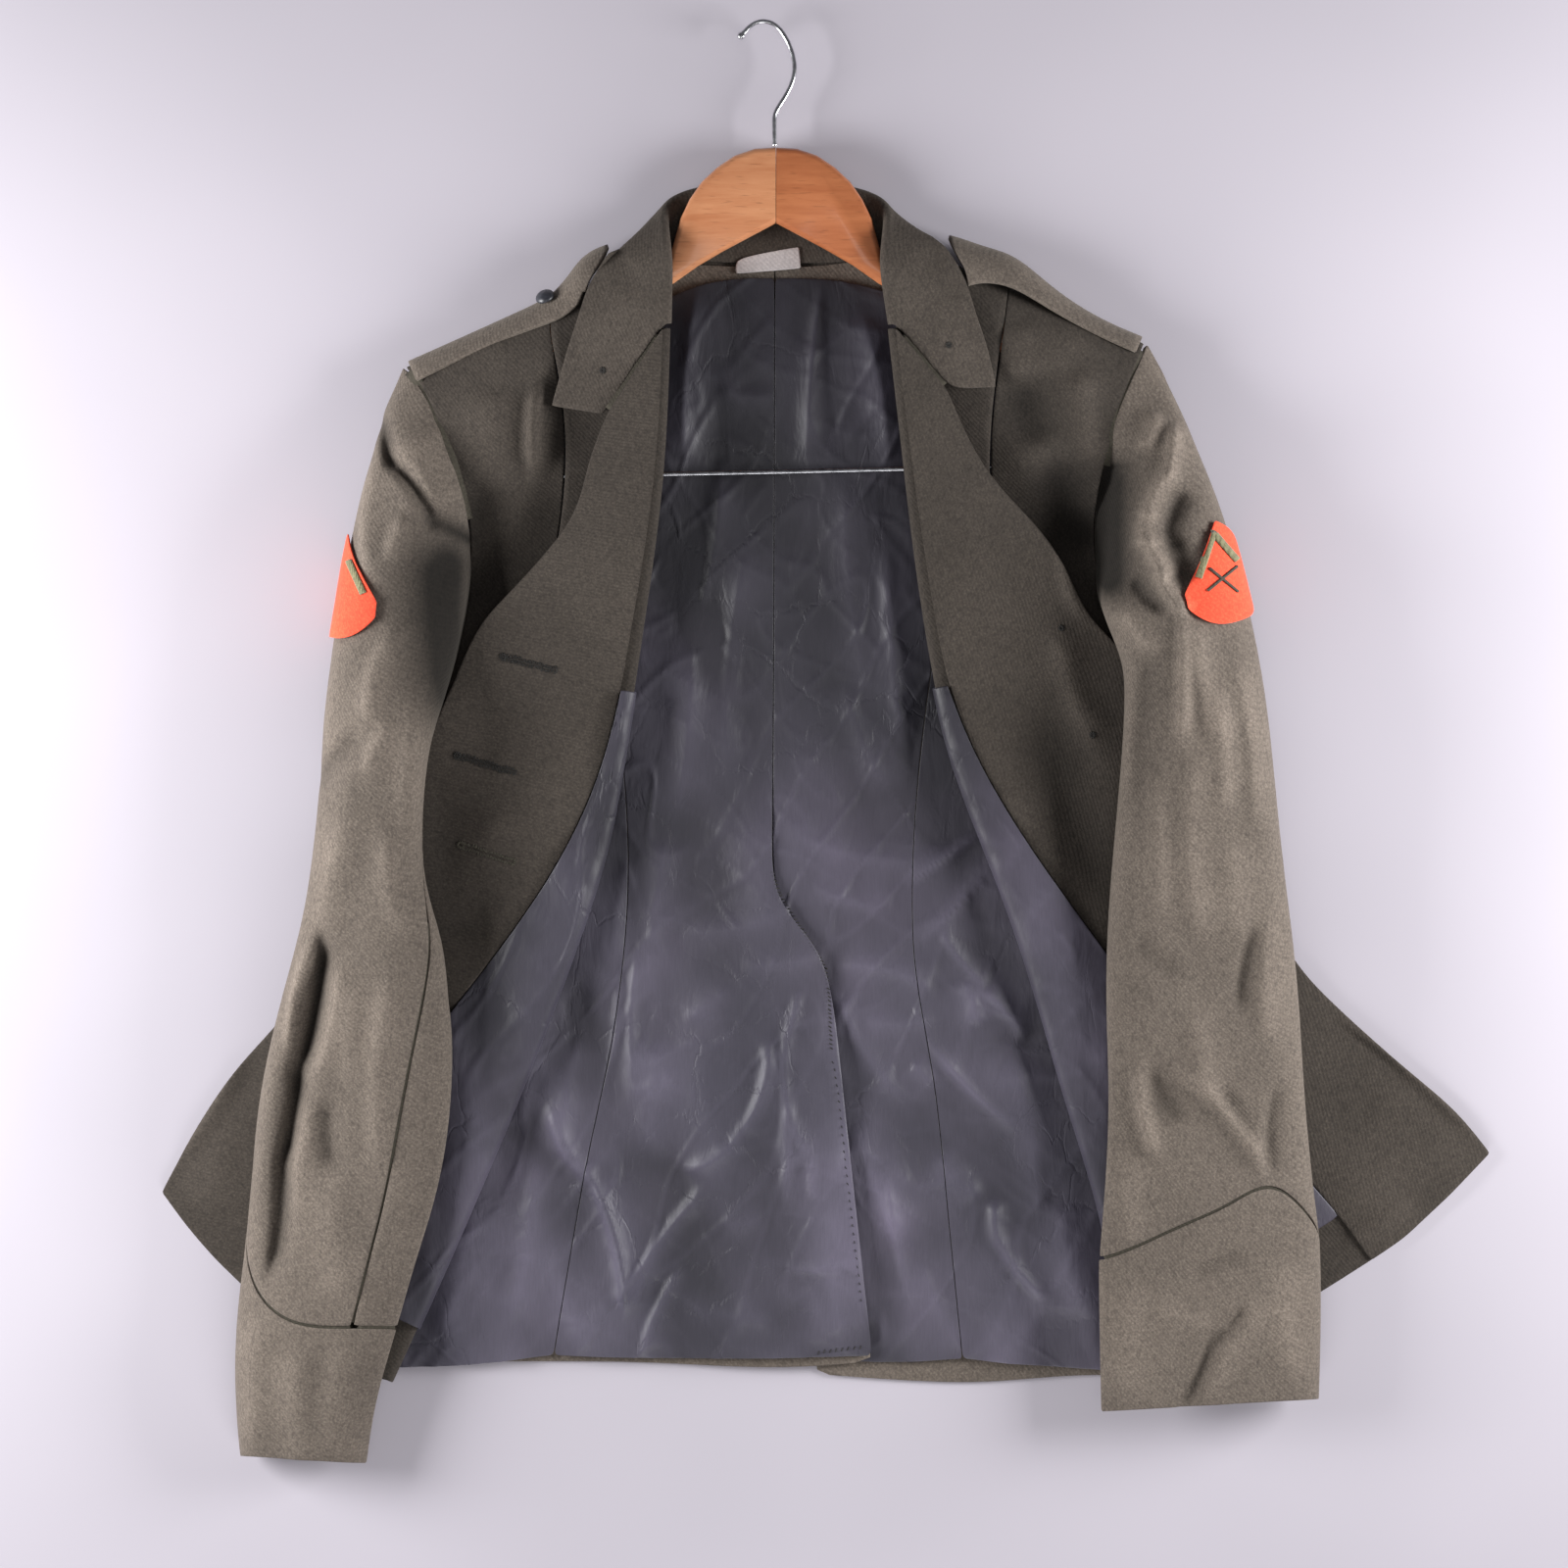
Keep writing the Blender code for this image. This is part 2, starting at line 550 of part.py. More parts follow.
# From just below the armhole to the cuff's hem. The two lows are the under side's height below the outer and
# the inner edge. Seams are in degrees round the sleeve: 0 is its outer edge, 90 the top and 180 the inner edge.
SLEEVE = {
    "left": (
        Section(-222, 214, 19, -176.5, 123, 12, 2.2, 2.2, 37, 188, -40),
        Section(-232, 178, 24, -178, 106, 16, 3.5, 4.5, 46, 188, -40),
        Section(-243, 136, 28, -182, 86, 22, 7, 8, 52, 188, -40),
        Section(-251, 88, 32, -188, 62, 28, 11.5, 14, 55, 188, -38),
        Section(-257, 42, 34, -197, 34, 31, 14, 19.5, 55, 186, -36),
        Section(-260, 0, 34, -203, -2, 32, 16, 20, 53, 182, -34),
        Section(-265, -52, 33, -204, -52, 30, 16, 20, 50, 168, -32),
        Section(-273, -90, 31, -190, -90, 28, 15.5, 20, 47, 142, -30),
        Section(-284, -130, 28, -187, -130, 27, 13.5, 19.5, 44, 126, -30),
        Section(-294, -175, 25, -187, -175, 26, 11, 19.5, 41, 116, -30),
        Section(-298, -222, 22, -193, -222, 26, 8.5, 19.5, 39, 114, -30),
        Section(-302, -262, 19, -206, -262, 26, 8, 19.5, 38, 114, -30),
        Section(-307, -305, 18, -218, -305, 25, 8, 19.5, 37, 113, -30),
        Section(-308, -345, 13, -230, -347, 21, 2.0, 15, 34, 113, -30),
        Section(-304.5, -377, 12, -235, -381, 15, 0.95, 3, 28, 113, -30),
    ),
    "right": (
        Section(216, 222, 19, 176.5, 118, 12.5, 2.2, 2.2, 37, 188, -40),
        Section(235, 180, 24, 177, 105, 16, 3.5, 4.5, 46, 188, -40),
        Section(249, 142, 28, 183, 87, 22, 7, 8, 52, 188, -40),
        Section(261, 96, 32, 191, 68, 28, 11.5, 19.5, 55, 188, -38),
        Section(270, 50, 34, 192, 42, 31, 14, 22, 55, 186, -36),
        Section(275, 0, 33, 189, 0, 31, 16, 20.5, 53, 184, -34),
        Section(281, -55, 31, 184, -55, 29, 16, 20, 49, 184, -34),
        Section(288, -110, 28, 181, -110, 27, 14.5, 19.5, 44, 184, -34),
        Section(291, -165, 25, 183, -165, 26, 11, 19.5, 40, 184, -34),
        Section(295, -212, 21, 182, -212, 26, 8.5, 19.5, 36, 184, -34),
        Section(300.5, -258, 18, 178, -258, 26, 9.5, 20, 35, 184, -34),
        Section(301, -305, 17, 178, -305, 26, 9.5, 20, 33, 184, -34),
        Section(300, -345, 15, 179, -352, 25, 8.5, 19, 31, 184, -34),
    ),
}
SLEEVE_FOLDS = {
    "left": (Fold(-265, -100, -289, -262, 9, -6.5), Fold(-285, -130, -296, -230, 7, 2.5),
             Fold(-258, -172, -256, -212, 8, -2.5), Fold(-228, -20, -226, -120, 12, 3.0),
             Fold(-212, 60, -222, -10, 9, -3.0), Fold(-240, 60, -246, -60, 12, 2.5),
             Fold(-272, -300, -262, -390, 14, 3.0), Fold(-240, -200, -262, -260, 14, 2.0)),
    "right": (Fold(218, 213, 214, 175, 12, 5.0), Fold(214, 175, 202, 145, 11, 5.5),
              Fold(202, 145, 210, 122, 10, 5.0),
              Fold(210, 122, 216, 100, 9, 4.5), Fold(216, 100, 210, 50, 10, 3.5),
              Fold(236, 66, 232, 20, 10, -3.0), Fold(240, 40, 246, -80, 12, 3.0),
              Fold(228, -20, 222, -130, 12, -2.5), Fold(272, 20, 268, -150, 14, 2.5),
              Fold(192, -30, 200, -150, 12, 2.0), Fold(252, -150, 270, -215, 12, -2.0),
              Fold(215, -180, 235, -240, 12, 2.0), Fold(248, -300, 224, -345, 11, -3.0)),
}
ROUND_TOP = 2.3
ROUND_UNDER = 3.2
ARMHOLE_GAP = 1.4
CUFF_SEAM_Y = {"left": -304.0, "right": -265.0}
CUFF_PEAK = {"left": (-12.0, 66.0), "right": (58.0, 46.0)}
CUFF_PEAK_WIDTH = 105.0
SEAM_HALF = 0.7
FIRST_LOW = 5.0


class Sleeve:
    """One sleeve's surface: degrees round it, and share w along its sections from the armhole to the hem."""

    def __init__(self, side):
        self.side = side
        self.sections = SLEEVE[side]
        self.armhole = Line([front_height(side, p) for p in map(Line(ARMHOLE[side]), shares(12))])

    def section(self, w):
        """The table's row at share w, read off smooth lines."""
        last = len(self.sections) - 1
        k = min(int(w * last), last - 1)
        f = w * last - k
        rows = [self.sections[min(max(k + d, 0), last)] for d in (-1, 0, 1, 2)]
        values = []
        for p0, p1, p2, p3 in zip(*rows):
            bend = (2 * p0 - 5 * p1 + 4 * p2 - p3) * f * f + (3 * p1 - p0 - 3 * p2 + p3) * f**3
            values.append((2 * p1 + (p2 - p0) * f + bend) / 2)
        return Section(*values)

    def point(self, degrees, w):
        row = self.section(w)
        angle = math.radians(degrees)
        c, q = math.cos(angle), math.sin(angle)
        power = ROUND_TOP if q >= 0 else ROUND_UNDER
        share = 0.5 - 0.5 * math.copysign(abs(c) ** (2 / power), c)
        level = lerp(row.outer_z, row.inner_z, share)
        far = row.high if q >= 0 else lerp(row.low_out, row.low_in, share)
        x = lerp(row.outer_x, row.inner_x, share)
        y = lerp(row.outer_y, row.inner_y, share)
        z = lerp(level, far, abs(q) ** (2 / power))
        if q > 0:
            z += fold_height(SLEEVE_FOLDS[self.side], x, y) * smooth(q * 2.5) * smooth(w * 6)
        return Vector((x, y, max(z, WOOL / 2 + 0.05)))

    def first(self, degrees):
        """The ring at the armhole: its upper half follows the front's edge, its lower the back."""
        turn = degrees % 360
        share = abs(turn - 180) / 180
        out = Vector((SIGN[self.side] * (ARMHOLE_GAP + 2.7 * smooth((0.3 - share) / 0.3)), -0.4, 0.4))
        if turn <= 180:
            return self.armhole(share) + out
        p = self.armhole(share) + out * 1.9
        return Vector((p.x, p.y, lerp(p.z, FIRST_LOW, smooth(share * 3) * smooth((1 - share) * 3))))

    def seam_w(self, degrees):
        """The share along the sleeve at which the cuff begins, with the cuff's pointed peak."""
        at, height = CUFF_PEAK[self.side]
        off = abs((degrees - at + 180) % 360 - 180) / CUFF_PEAK_WIDTH
        y = CUFF_SEAM_Y[self.side] + (height * (1 - off) ** 1.7 if off < 1 else 0)
        last = len(self.sections) - 1
        for k in range(last):
            above, below = self.sections[k].outer_y, self.sections[k + 1].outer_y
            if below <= y <= above:
                return (k + (above - y) / (above - below)) / last
        return 1.0

    def surface(self, degrees, v):
        """v from 0 at the armhole to 1 at the cuff's seam."""
        return self.first(degrees) if v <= 0 else self.point(degrees, v * self.seam_w(degrees))

    def beside(self, degrees, v, sign):
        """Half a seam's gap away from these degrees."""
        if v == 0:
            return degrees + sign * 8
        step = (self.surface(degrees + 1, v) - self.surface(degrees - 1, v)).length / 2
        return degrees + sign * SEAM_HALF * (1 + 2.5 * max(0, 1 - v / 0.07)) / max(step, 0.2)


SLEEVE_ROWS = (0.0, 0.02, 0.06, 0.11, 0.165, 0.23, 0.30, 0.37, 0.44, 0.51, 0.58, 0.65, 0.72, 0.79, 0.86,
               0.93, 1.0)
CUFF_ROWS = (0.0, 0.12, 0.32, 0.6, 1.0)
CUFF_GAP = 1.8


def make_sleeve(side, sleeve, wool):
    around = []
    for name, columns in (("top", 14), ("under", 8)):
        grid = []
        for v in SLEEVE_ROWS:
            row = sleeve.section(v * 0.85)
            start, end = row.back_seam, row.front_seam
            if name == "under":
                start, end = end, start + 360
            start, end = sleeve.beside(start, v, 1), sleeve.beside(end, v, -1)
            degrees = [lerp(start, end, s) for s in shares(columns)]
            grid.append([sleeve.surface(d, v) for d in degrees])
        around += degrees if name == "top" else degrees[1:-1]
        if side == "right":
            grid = [line[::-1] for line in grid]
        wall(f"sleeve_{name}_{side}", grid, WOOL, wool)
    grid = []
    last = len(sleeve.sections) - 1
    for v in CUFF_ROWS:
        line = []
        for degrees in around:
            begin = sleeve.seam_w(degrees) + CUFF_GAP / 43 / last
            line.append(sleeve.point(degrees, lerp(begin, 1, v)))
        grid.append(line)
    if side == "right":
        grid = [line[::-1] for line in grid]
    wall(f"cuff_{side}", grid, WOOL, wool, around=True)


# Degrees round the sleeve of the patch's middle, and the height of its top
PATCH_AT = {"left": (8.0, 140.0), "right": (36.0, 152.0)}
PATCH_HALF_WIDTH = 30.0
PATCH_HEIGHT = 58.0
PATCH_SHOULDER = 26.0
PATCH_ROUND = 21.0
PATCH = 1.0
PATCH_OFF = 1.5


def patch_ends(aside):
    """How far down the patch's pointed top and its round bottom lie, this far from its middle."""
    share = abs(aside) / PATCH_HALF_WIDTH
    return PATCH_SHOULDER * share, PATCH_HEIGHT - PATCH_ROUND * share**3


def patch_place(sleeve, aside, down):
    """The point on the sleeve this far round from the patch's middle and this far below its top."""
    at, top = PATCH_AT[sleeve.side]
    low, high = 0.0, 1.0
    for _ in range(30):
        middle = (low + high) / 2
        if sleeve.section(middle).outer_y > top - down:
            low = middle
        else:
            high = middle
    degrees = at
    left = abs(aside)
    step = math.copysign(2.0, aside)
    here = sleeve.point(degrees, low)
    while left > 0.01:
        there = sleeve.point(degrees + step, low)
        length = (there - here).length
        degrees += step * min(1.0, left / length)
        left -= min(length, left)
        here = sleeve.point(degrees, low)
    around = sleeve.point(degrees + 1, low) - sleeve.point(degrees - 1, low)
    along = sleeve.point(degrees, low + 0.004) - sleeve.point(degrees, low - 0.004)
    return here, around.cross(along).normalized() * SIGN[sleeve.side]


def make_patch(side, sleeve, felt):
    grid = []
    for t in shares(8):
        row = []
        for aside in shares(9, -PATCH_HALF_WIDTH, PATCH_HALF_WIDTH):
            top, bottom = patch_ends(aside)
            here, normal = patch_place(sleeve, aside, lerp(top, bottom, t))
            row.append(here + normal * (WOOL / 2 + PATCH_OFF + PATCH / 2))
        grid.append(row)
    if side == "right":
        grid = [row[::-1] for row in grid]
    wall(f"patch_{side}", grid, PATCH, felt)


# Collar, straps and label.

# x, y, z of the stand's foot from the left gorge round the back to the right gorge
COLLAR_FOOT = (
    (-66.4, 258, 22.4), (-67.8, 275, 22.6), (-69, 288, 21.6), (-69.5, 298, 15), (-68, 300, 9.5),
    (-60, 296.5, 5),
    (-50, 293.8, 4.2), (-30, 292.6, 3.8), (-4.5, 292, 3.8), (21, 292.6, 3.8), (41, 293.8, 4.2),
    (51, 296.5, 5),
    (59, 303, 9.5), (61, 304, 15), (61, 292, 21.6), (61.2, 278, 22.6), (60.9, 258, 22.4),
)
Roll = namedtuple("Roll", "x y z to_x to_y to_z radius")
# The middle of the bend, and the way from the stand to the leaf
COLLAR_ROLL = (
    Roll(-67.3, 258.4, 28.9, 0, 0, 1, 3.9), Roll(-67, 275, 29.3, 0, 0, 1, 3.9),
    Roll(-66.5, 292, 28.5, -0.35, 0.1, 0.92, 3.8), Roll(-67.5, 306, 23.5, -0.7, 0.35, 0.6, 3.3),
    Roll(-68, 317, 16, -0.8, 0.5, 0.1, 2.8), Roll(-65, 325, 9, -0.6, 0.5, -0.6, 2.3),
    Roll(-55, 330.5, 4.2, -0.2, 0.2, -0.95, 2.0), Roll(-42, 333.5, 3.0, 0, 0, -1, 1.85),
    Roll(-25, 334.5, 2.8, 0, 0, -1, 1.75), Roll(-4.5, 335, 2.75, 0, 0, -1, 1.75),
    Roll(16, 334.5, 2.8, 0, 0, -1, 1.75),
    Roll(33, 333.5, 3.0, 0, 0, -1, 1.85), Roll(46, 330.5, 4.2, 0.2, 0.2, -0.95, 2.0),
    Roll(56, 325, 9, 0.6, 0.5, -0.6, 2.3), Roll(59, 317, 16, 0.8, 0.5, 0.1, 2.8),
    Roll(58.5, 306, 23.5, 0.7, 0.35, 0.6, 3.3), Roll(57.8, 292, 28.5, 0.35, 0.1, 0.92, 3.8),
    Roll(60, 275, 29.3, 0, 0, 1, 3.9), Roll(62.6, 258.4, 28.9, 0, 0, 1, 3.9),
)
# x, y, z of the leaf's free edge, and of its lower border from the roll along the gorge to its point
COLLAR_EDGE = (
    (-130.4, 212.3, 28.3), (-126, 228, 28.4), (-121.6, 244, 28.8), (-115.5, 262, 29.3), (-110.6, 278, 28.8),
    (-104, 289, 27.5), (-96, 296.5, 24.5), (-86, 302.5, 17.5), (-79, 303.5, 9.5), (-70, 297, 3),
    (-58, 285, 1.1),
    (-35, 275.5, 0.95), (-4.5, 272, 0.95), (26, 275.5, 0.95), (49, 287, 1.1), (62, 303, 3),
    (71, 309.5, 9.5),
    (79, 308.5, 17.5), (88.5, 303.5, 24.5), (96.5, 293, 27.5), (103, 280, 28.8), (107.5, 264, 29.3),
    (112.8, 249.5, 28.8), (116.5, 235, 28.4), (118.8, 222.8, 28.3),
)
# x, y, z of the collar's front end, from its notch to its point
COLLAR_POINT = {
    "left": ((-102.6, 206.2, 30.9), (-112, 209.3, 29.8), (-130.4, 212.3, 28.3)),
    "right": ((93.4, 221.8, 31.3), (105, 222.2, 29.8), (118.8, 222.8, 28.3)),
}
GORGE_GAP = 1.6
COLLAR_ROWS = 37


def collar_end(side, start):
    """The leaf's lower border: along the lapel's gorge to the notch, then out to the collar's point."""
    gorge = Line(GORGE[side])
    outside = Vector((SIGN[side], 0.62, 0)) * GORGE_GAP * 0.8
    return Line([start, *(gorge(t) + outside for t in (0.35, 0.7)), *COLLAR_POINT[side]], straight=True)


def make_collar(wool):
    """One piece: the stand up from the neck seam, the bend, and the leaf that falls outwards."""
    foot = Line(COLLAR_FOOT)
    middle = Line([(r.x, r.y, r.z) for r in COLLAR_ROLL])
    # where along the bend each table row lies
    marks = [middle.at[k * Line.STEPS] / middle.length for k in range(len(COLLAR_ROLL))]
    edge = Line(COLLAR_EDGE)

    def bend(t):
        k = max(i for i, m in enumerate(marks[:-1]) if m <= t + 1e-9)
        f = (t - marks[k]) / (marks[k + 1] - marks[k])
        a, b = COLLAR_ROLL[k], COLLAR_ROLL[k + 1]
        way = lerp(Vector(a[3:6]), Vector(b[3:6]), smooth(f))
        run = (middle(min(t + 0.01, 1)) - middle(max(t - 0.01, 0))).normalized()
        way = (way - run * way.dot(run)).normalized()
        return middle(t), way, run.cross(way), lerp(a.radius, b.radius, f)

    def start(t):
        centre, way, _, radius = bend(t)
        return centre + way * radius

    first = collar_end("left", start(0))
    last = collar_end("right", start(1))
    straight_first = Line([start(0), edge(0)], straight=True)
    straight_last = Line([start(1), edge(1)], straight=True)
    grid = []
    for t in shares(COLLAR_ROWS):
        centre, way, out, radius = bend(t)
        row = [lerp(foot(t), centre - way * radius, s) for s in (0.0, 0.5, 1.0)]
        for degrees in (-45, 0, 45, 90):
            turn = math.radians(degrees)
            row.append(centre + (out * math.cos(turn) + way * math.sin(turn)) * radius)
        near_first, near_last = 1 - smooth(t / 0.22), smooth((t - 0.78) / 0.22)
        for s in shares(7)[1:]:
            p = lerp(start(t), edge(t), s)
            p += (first(s) - straight_first(s)) * near_first + (last(s) - straight_last(s)) * near_last
            row.append(p)
        grid.append(row)
    return wall("collar", [row[::-1] for row in grid], WOOL, wool)


Strap = namedtuple("Strap", "along low high lift lean", defaults=(0,))
# Millimetres from the shoulder's tip, the degrees round its edge that the strap covers, its stand-off, and how
# much nearer to the tip its inner edge is, so that it ends beside the collar
STRAPS = {
    "left": (Strap(2, -38, 76, 0), Strap(20, -40, 72, 0), Strap(45, -40, 70, 0.2), Strap(70, -40, 73, 0.4),
             Strap(88, -38, 84, 1.0), Strap(98, -30, 90, 4.5), Strap(107, -18, 93, 9.5, 4),
             Strap(115, -8, 94, 14, 9), Strap(123, 4, 94, 15.5, 15.5), Strap(131, 10, 94, 15, 22)),
    "right": (Strap(2, -38, 64, 0.5), Strap(20, -40, 62, 0.2), Strap(40, -40, 64, 2.0),
              Strap(60, -38, 72, 6.5), Strap(76, -34, 84, 12), Strap(88, -30, 92, 14.5),
              Strap(98, -26, 95, 13.5), Strap(108, -18, 97, 12.5, 6.5), Strap(117, -4, 97, 12, 14.5),
              Strap(124, 4, 97, 11, 21)),
}
STRAP = 2.4
STRAP_OFF = WOOL / 2 + GAP + 0.2 + STRAP / 2
FRONT_LEVEL = 25.0


def strap_place(side, along, degrees, lift):
    """A point round the shoulder's rounded edge, and the way out from it: past 90 degrees, it lies flat."""
    neck = Vector((*SHOULDER_NECK[side], 0))
    slope = SHOULDER_SLOPE[side]
    way = Vector((-SIGN[side], -SIGN[side] * slope, 0)).normalized()
    tip_x = ARMHOLE[side][-1][0]
    tip = Vector((tip_x, neck.y + slope * (tip_x - neck.x), 0))
    out = Vector((-way.y, way.x, 0)) * -SIGN[side]
    flat = max(degrees - 90, 0)
    turn = math.radians(min(degrees, 90))
    half = FRONT_LEVEL - SHOULDER_EDGE_HEIGHT if degrees > 0 else SHOULDER_EDGE_HEIGHT - WOOL / 2
    tall = half + STRAP_OFF
    wide = SHOULDER_ROUND + STRAP_OFF
    height = SHOULDER_EDGE_HEIGHT + tall * math.sin(turn)
    p = tip + way * along + out * (wide * math.cos(turn) - SHOULDER_ROUND + lift - flat)
    normal = (out * math.cos(turn) / wide + Vector((0, 0, math.sin(turn) / tall))).normalized()
    return Vector((p.x, p.y, height)), normal


def make_strap(side, wool):
    rows = STRAPS[side]
    grid = []
    for row in rows:
        columns = zip(shares(9), shares(9, row.low, row.high))
        grid.append([strap_place(side, row.along - row.lean * s**2, d, row.lift)[0] for s, d in columns])
    if side == "right":
        grid = [line[::-1] for line in grid]
    return wall(f"epaulette_{side}", grid, STRAP, wool)


BUTTON_PLACE = (87.0, 28.0, 1.0)
BUTTON_OFF = 1.4
BUTTON_PROFILE = ((4.6, 0.0), (5.6, 0.8), (5.7, 1.8), (5.0, 3.3), (3.4, 4.5), (1.5, 5.1))


def make_button(shell):
    """A plain domed button on the left strap."""
    place, normal = strap_place("left", *BUTTON_PLACE)
    place += normal * (STRAP / 2 + BUTTON_OFF)
    side = normal.cross(Vector((1, 0, 0))).normalized()
    other = normal.cross(side)
    bm = bmesh.new()
    rings = []
    for radius, height in BUTTON_PROFILE:
        ring = []
        for k in range(16):
            turn = k * math.tau / 16
            ring.append(bm.verts.new(seen(place + normal * height
                                          + (side * math.cos(turn) + other * math.sin(turn)) * radius)))
        rings.append(ring)
    for low, high in zip(rings, rings[1:]):
        for k in range(16):
            bm.faces.new((low[k], low[(k + 1) % 16], high[(k + 1) % 16], high[k]))
    bm.faces.new(rings[0][::-1])
    bm.faces.new(rings[-1])
    bmesh.ops.recalc_face_normals(bm, faces=bm.faces)
    return finish("button_left", bm, shell)


LABEL_LINES = (((-27, 286.3), (9.4, 289.3)), ((-27.3, 292), (9, 295.5)), ((-24.8, 295.6), (8.3, 301.4)))
LABEL_HEIGHT = 5.35
LABEL = 0.8


def make_label(cotton):
    grid = []
    for (x0, y0), (x1, y1) in LABEL_LINES:
        grid.append([Vector((lerp(x0, x1, s), lerp(y0, y1, s), LABEL_HEIGHT)) for s in shares(5)])
    return wall("label", grid, LABEL, cotton)


# Hanger.

# Distance from the hanger's middle and y, along its upper and its lower edge
WOOD_UPPER = ((0, 357.3), (16, 355.8), (28, 349.6), (39, 340.8), (47.4, 330), (54.6, 314.6), (58.5, 298),
              (62.5, 291), (70, 286.3), (116, 266), (166, 243.5), (188, 232), (195.5, 223))
WOOD_LOWER = ((0, 314.6), (20, 304), (40.5, 292.8), (58, 280.6), (116, 247), (166, 222), (189, 211.5))
MITRE_GAP = 0.3
HOOK_PATH = ((-5.2, 358.0), (-5.4, 367), (-5.4, 375.7), (-3.3, 379.8), (1.1, 386.5), (4.4, 393.3), (6.0, 400),
             (5.5, 406.7), (3.3, 414.2), (-0.5, 421.3), (-5, 426.3), (-11, 428.3), (-16.2, 427.4),
             (-20, 424.6),
             (-22.6, 421.6))
BAR_PATH = ((-150, 230.2), (-150, 182), (-147.5, 175.2), (-141, 172.8), (-70, 173.9), (0, 175.2), (70, 177),
            (132.5, 178.4), (138.5, 180.6), (141, 187), (141, 230.2))


def make_wood(side, wood):
    sign = SIGN[side]
    upper = Line([(u, y, 0) for u, y in WOOD_UPPER])
    lower = Line([(u, y, 0) for u, y in WOOD_LOWER])
    outline = [upper(t) for t in shares(22)] + [lower(t) for t in shares(14)[::-1]]
    bm = bmesh.new()
    rings = []
    for height in (WOOD_LOW, WOOD_LOW + WOOD_THICK):
        ring = []
        for p in outline:
            u = max(p.x, MITRE_GAP / 2)
            ring.append(bm.verts.new(seen(Vector((HANGER_X + sign * u, p.y, height)))))
        rings.append(ring)
    count = len(outline)
    for k in range(count):
        n = (k + 1) % count
        bm.faces.new((rings[0][k], rings[0][n], rings[1][n], rings[1][k]))
    bm.faces.new(rings[0][::-1])
    bm.faces.new(rings[1])
    bmesh.ops.recalc_face_normals(bm, faces=bm.faces)
    mitre = {rings[r][k] for r in (0, 1) for k in (0, count - 1)}
    edges = [e for e in bm.edges if e.verts[0].co.z == e.verts[1].co.z and not set(e.verts) <= mitre]
    bmesh.ops.bevel(bm, geom=edges, offset=WOOD_EDGE_ROUND * MM, segments=2, profile=0.5, affect="EDGES")
    return finish(f"hanger_{side}", bm, wood)


def make_wire(name, points, radii, steel):
    """A round wire along points that lie at one height, closed at both ends."""
    bm = bmesh.new()
    rings = []
    for k, (p, radius) in enumerate(zip(points, radii)):
        run = (points[min(k + 1, len(points) - 1)] - points[max(k - 1, 0)]).normalized()
        side = Vector((run.y, -run.x, 0)).normalized()
        ring = []
        for c in range(8):
            turn = c * math.tau / 8
            out = side * math.cos(turn) + Vector((0, 0, 1)) * math.sin(turn)
            ring.append(bm.verts.new(seen(p + out * radius)))
        rings.append(ring)
    for low, high in zip(rings, rings[1:]):
        for c in range(8):
            bm.faces.new((low[c], low[(c + 1) % 8], high[(c + 1) % 8], high[c]))
    bm.faces.new(rings[0][::-1])
    bm.faces.new(rings[-1])
    bmesh.ops.recalc_face_normals(bm, faces=bm.faces)
    return finish(name, bm, steel)


def make_hook(steel):
    height = WOOD_LOW + WOOD_THICK / 2
    path = Line([(x, y, height) for x, y in HOOK_PATH])
    points = [path(t) for t in shares(23)]
    radii = [HOOK_WIRE / 2] * len(points)
    way = (points[-1] - points[-2]).normalized()
    ball = HOOK_BALL / 2
    middle = points[-1] + way * math.sqrt(ball**2 - (HOOK_WIRE / 2) ** 2)
    start = math.asin(HOOK_WIRE / 2 / ball)
    for turn in [lerp(math.pi - start, 0.35, c / 5) for c in range(1, 6)]:
        points.append(middle + way * ball * math.cos(turn))
        radii.append(ball * math.sin(turn))
    return make_wire("hook", points, radii, steel)


def make_bar(steel):
    path = Line([(x, y, BAR_HEIGHT) for x, y in BAR_PATH])
    points = [path(t) for t in (*shares(8, 0, 0.21), 0.35, 0.5, 0.65, *shares(8, 0.79, 1))]
    return make_wire("trouser_bar", points, [BAR_WIRE / 2] * len(points), steel)


# Main.


def main():
    for obj in list(bpy.data.objects):
        bpy.data.objects.remove(obj)
    root = bpy.data.objects.new("jacket", None)
    root.location = (PLAN_SHIFT[0] * MM, PLAN_SHIFT[1] * MM, 0)
    bpy.context.scene.collection.objects.link(root)
    wool = make_material("wool", (0.105, 0.098, 0.078), 0.9)
    satin = make_material("satin", (0.085, 0.085, 0.125), 0.45)
    felt = make_material("felt", (0.85, 0.08, 0.03), 0.9)
    cotton = make_material("cotton", (0.75, 0.72, 0.7), 0.9)
    shell = make_material("button", (0.04, 0.04, 0.07), 0.3)
    wood = make_material("wood", (0.62, 0.24, 0.09), 0.35)
    steel = make_material("steel", (0.75, 0.75, 0.78), 0.15, 1.0)
    for side in ("left", "right"):
        turned = TurnedFront(side)
        sleeve = Sleeve(side)
        make_back(side, wool)
        make_back_lining(side, satin)
        make_side_front(side, wool)
        make_front(side, turned, wool)
        make_facing(side, turned, wool, satin)
        make_sleeve(side, sleeve, wool)
        make_patch(side, sleeve, felt)
        make_strap(side, wool)
        make_wood(side, wood)
    make_collar(wool)
    make_button(shell)
    make_label(cotton)
    make_hook(steel)
    make_bar(steel)


main()
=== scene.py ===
"""A wool service jacket laid open on the floor with its hanger inside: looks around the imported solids."""
import math
import random
from collections import namedtuple

import bmesh
import bpy
import numpy as np
from mathutils import Matrix, Vector, noise
from mathutils.bvhtree import BVHTree


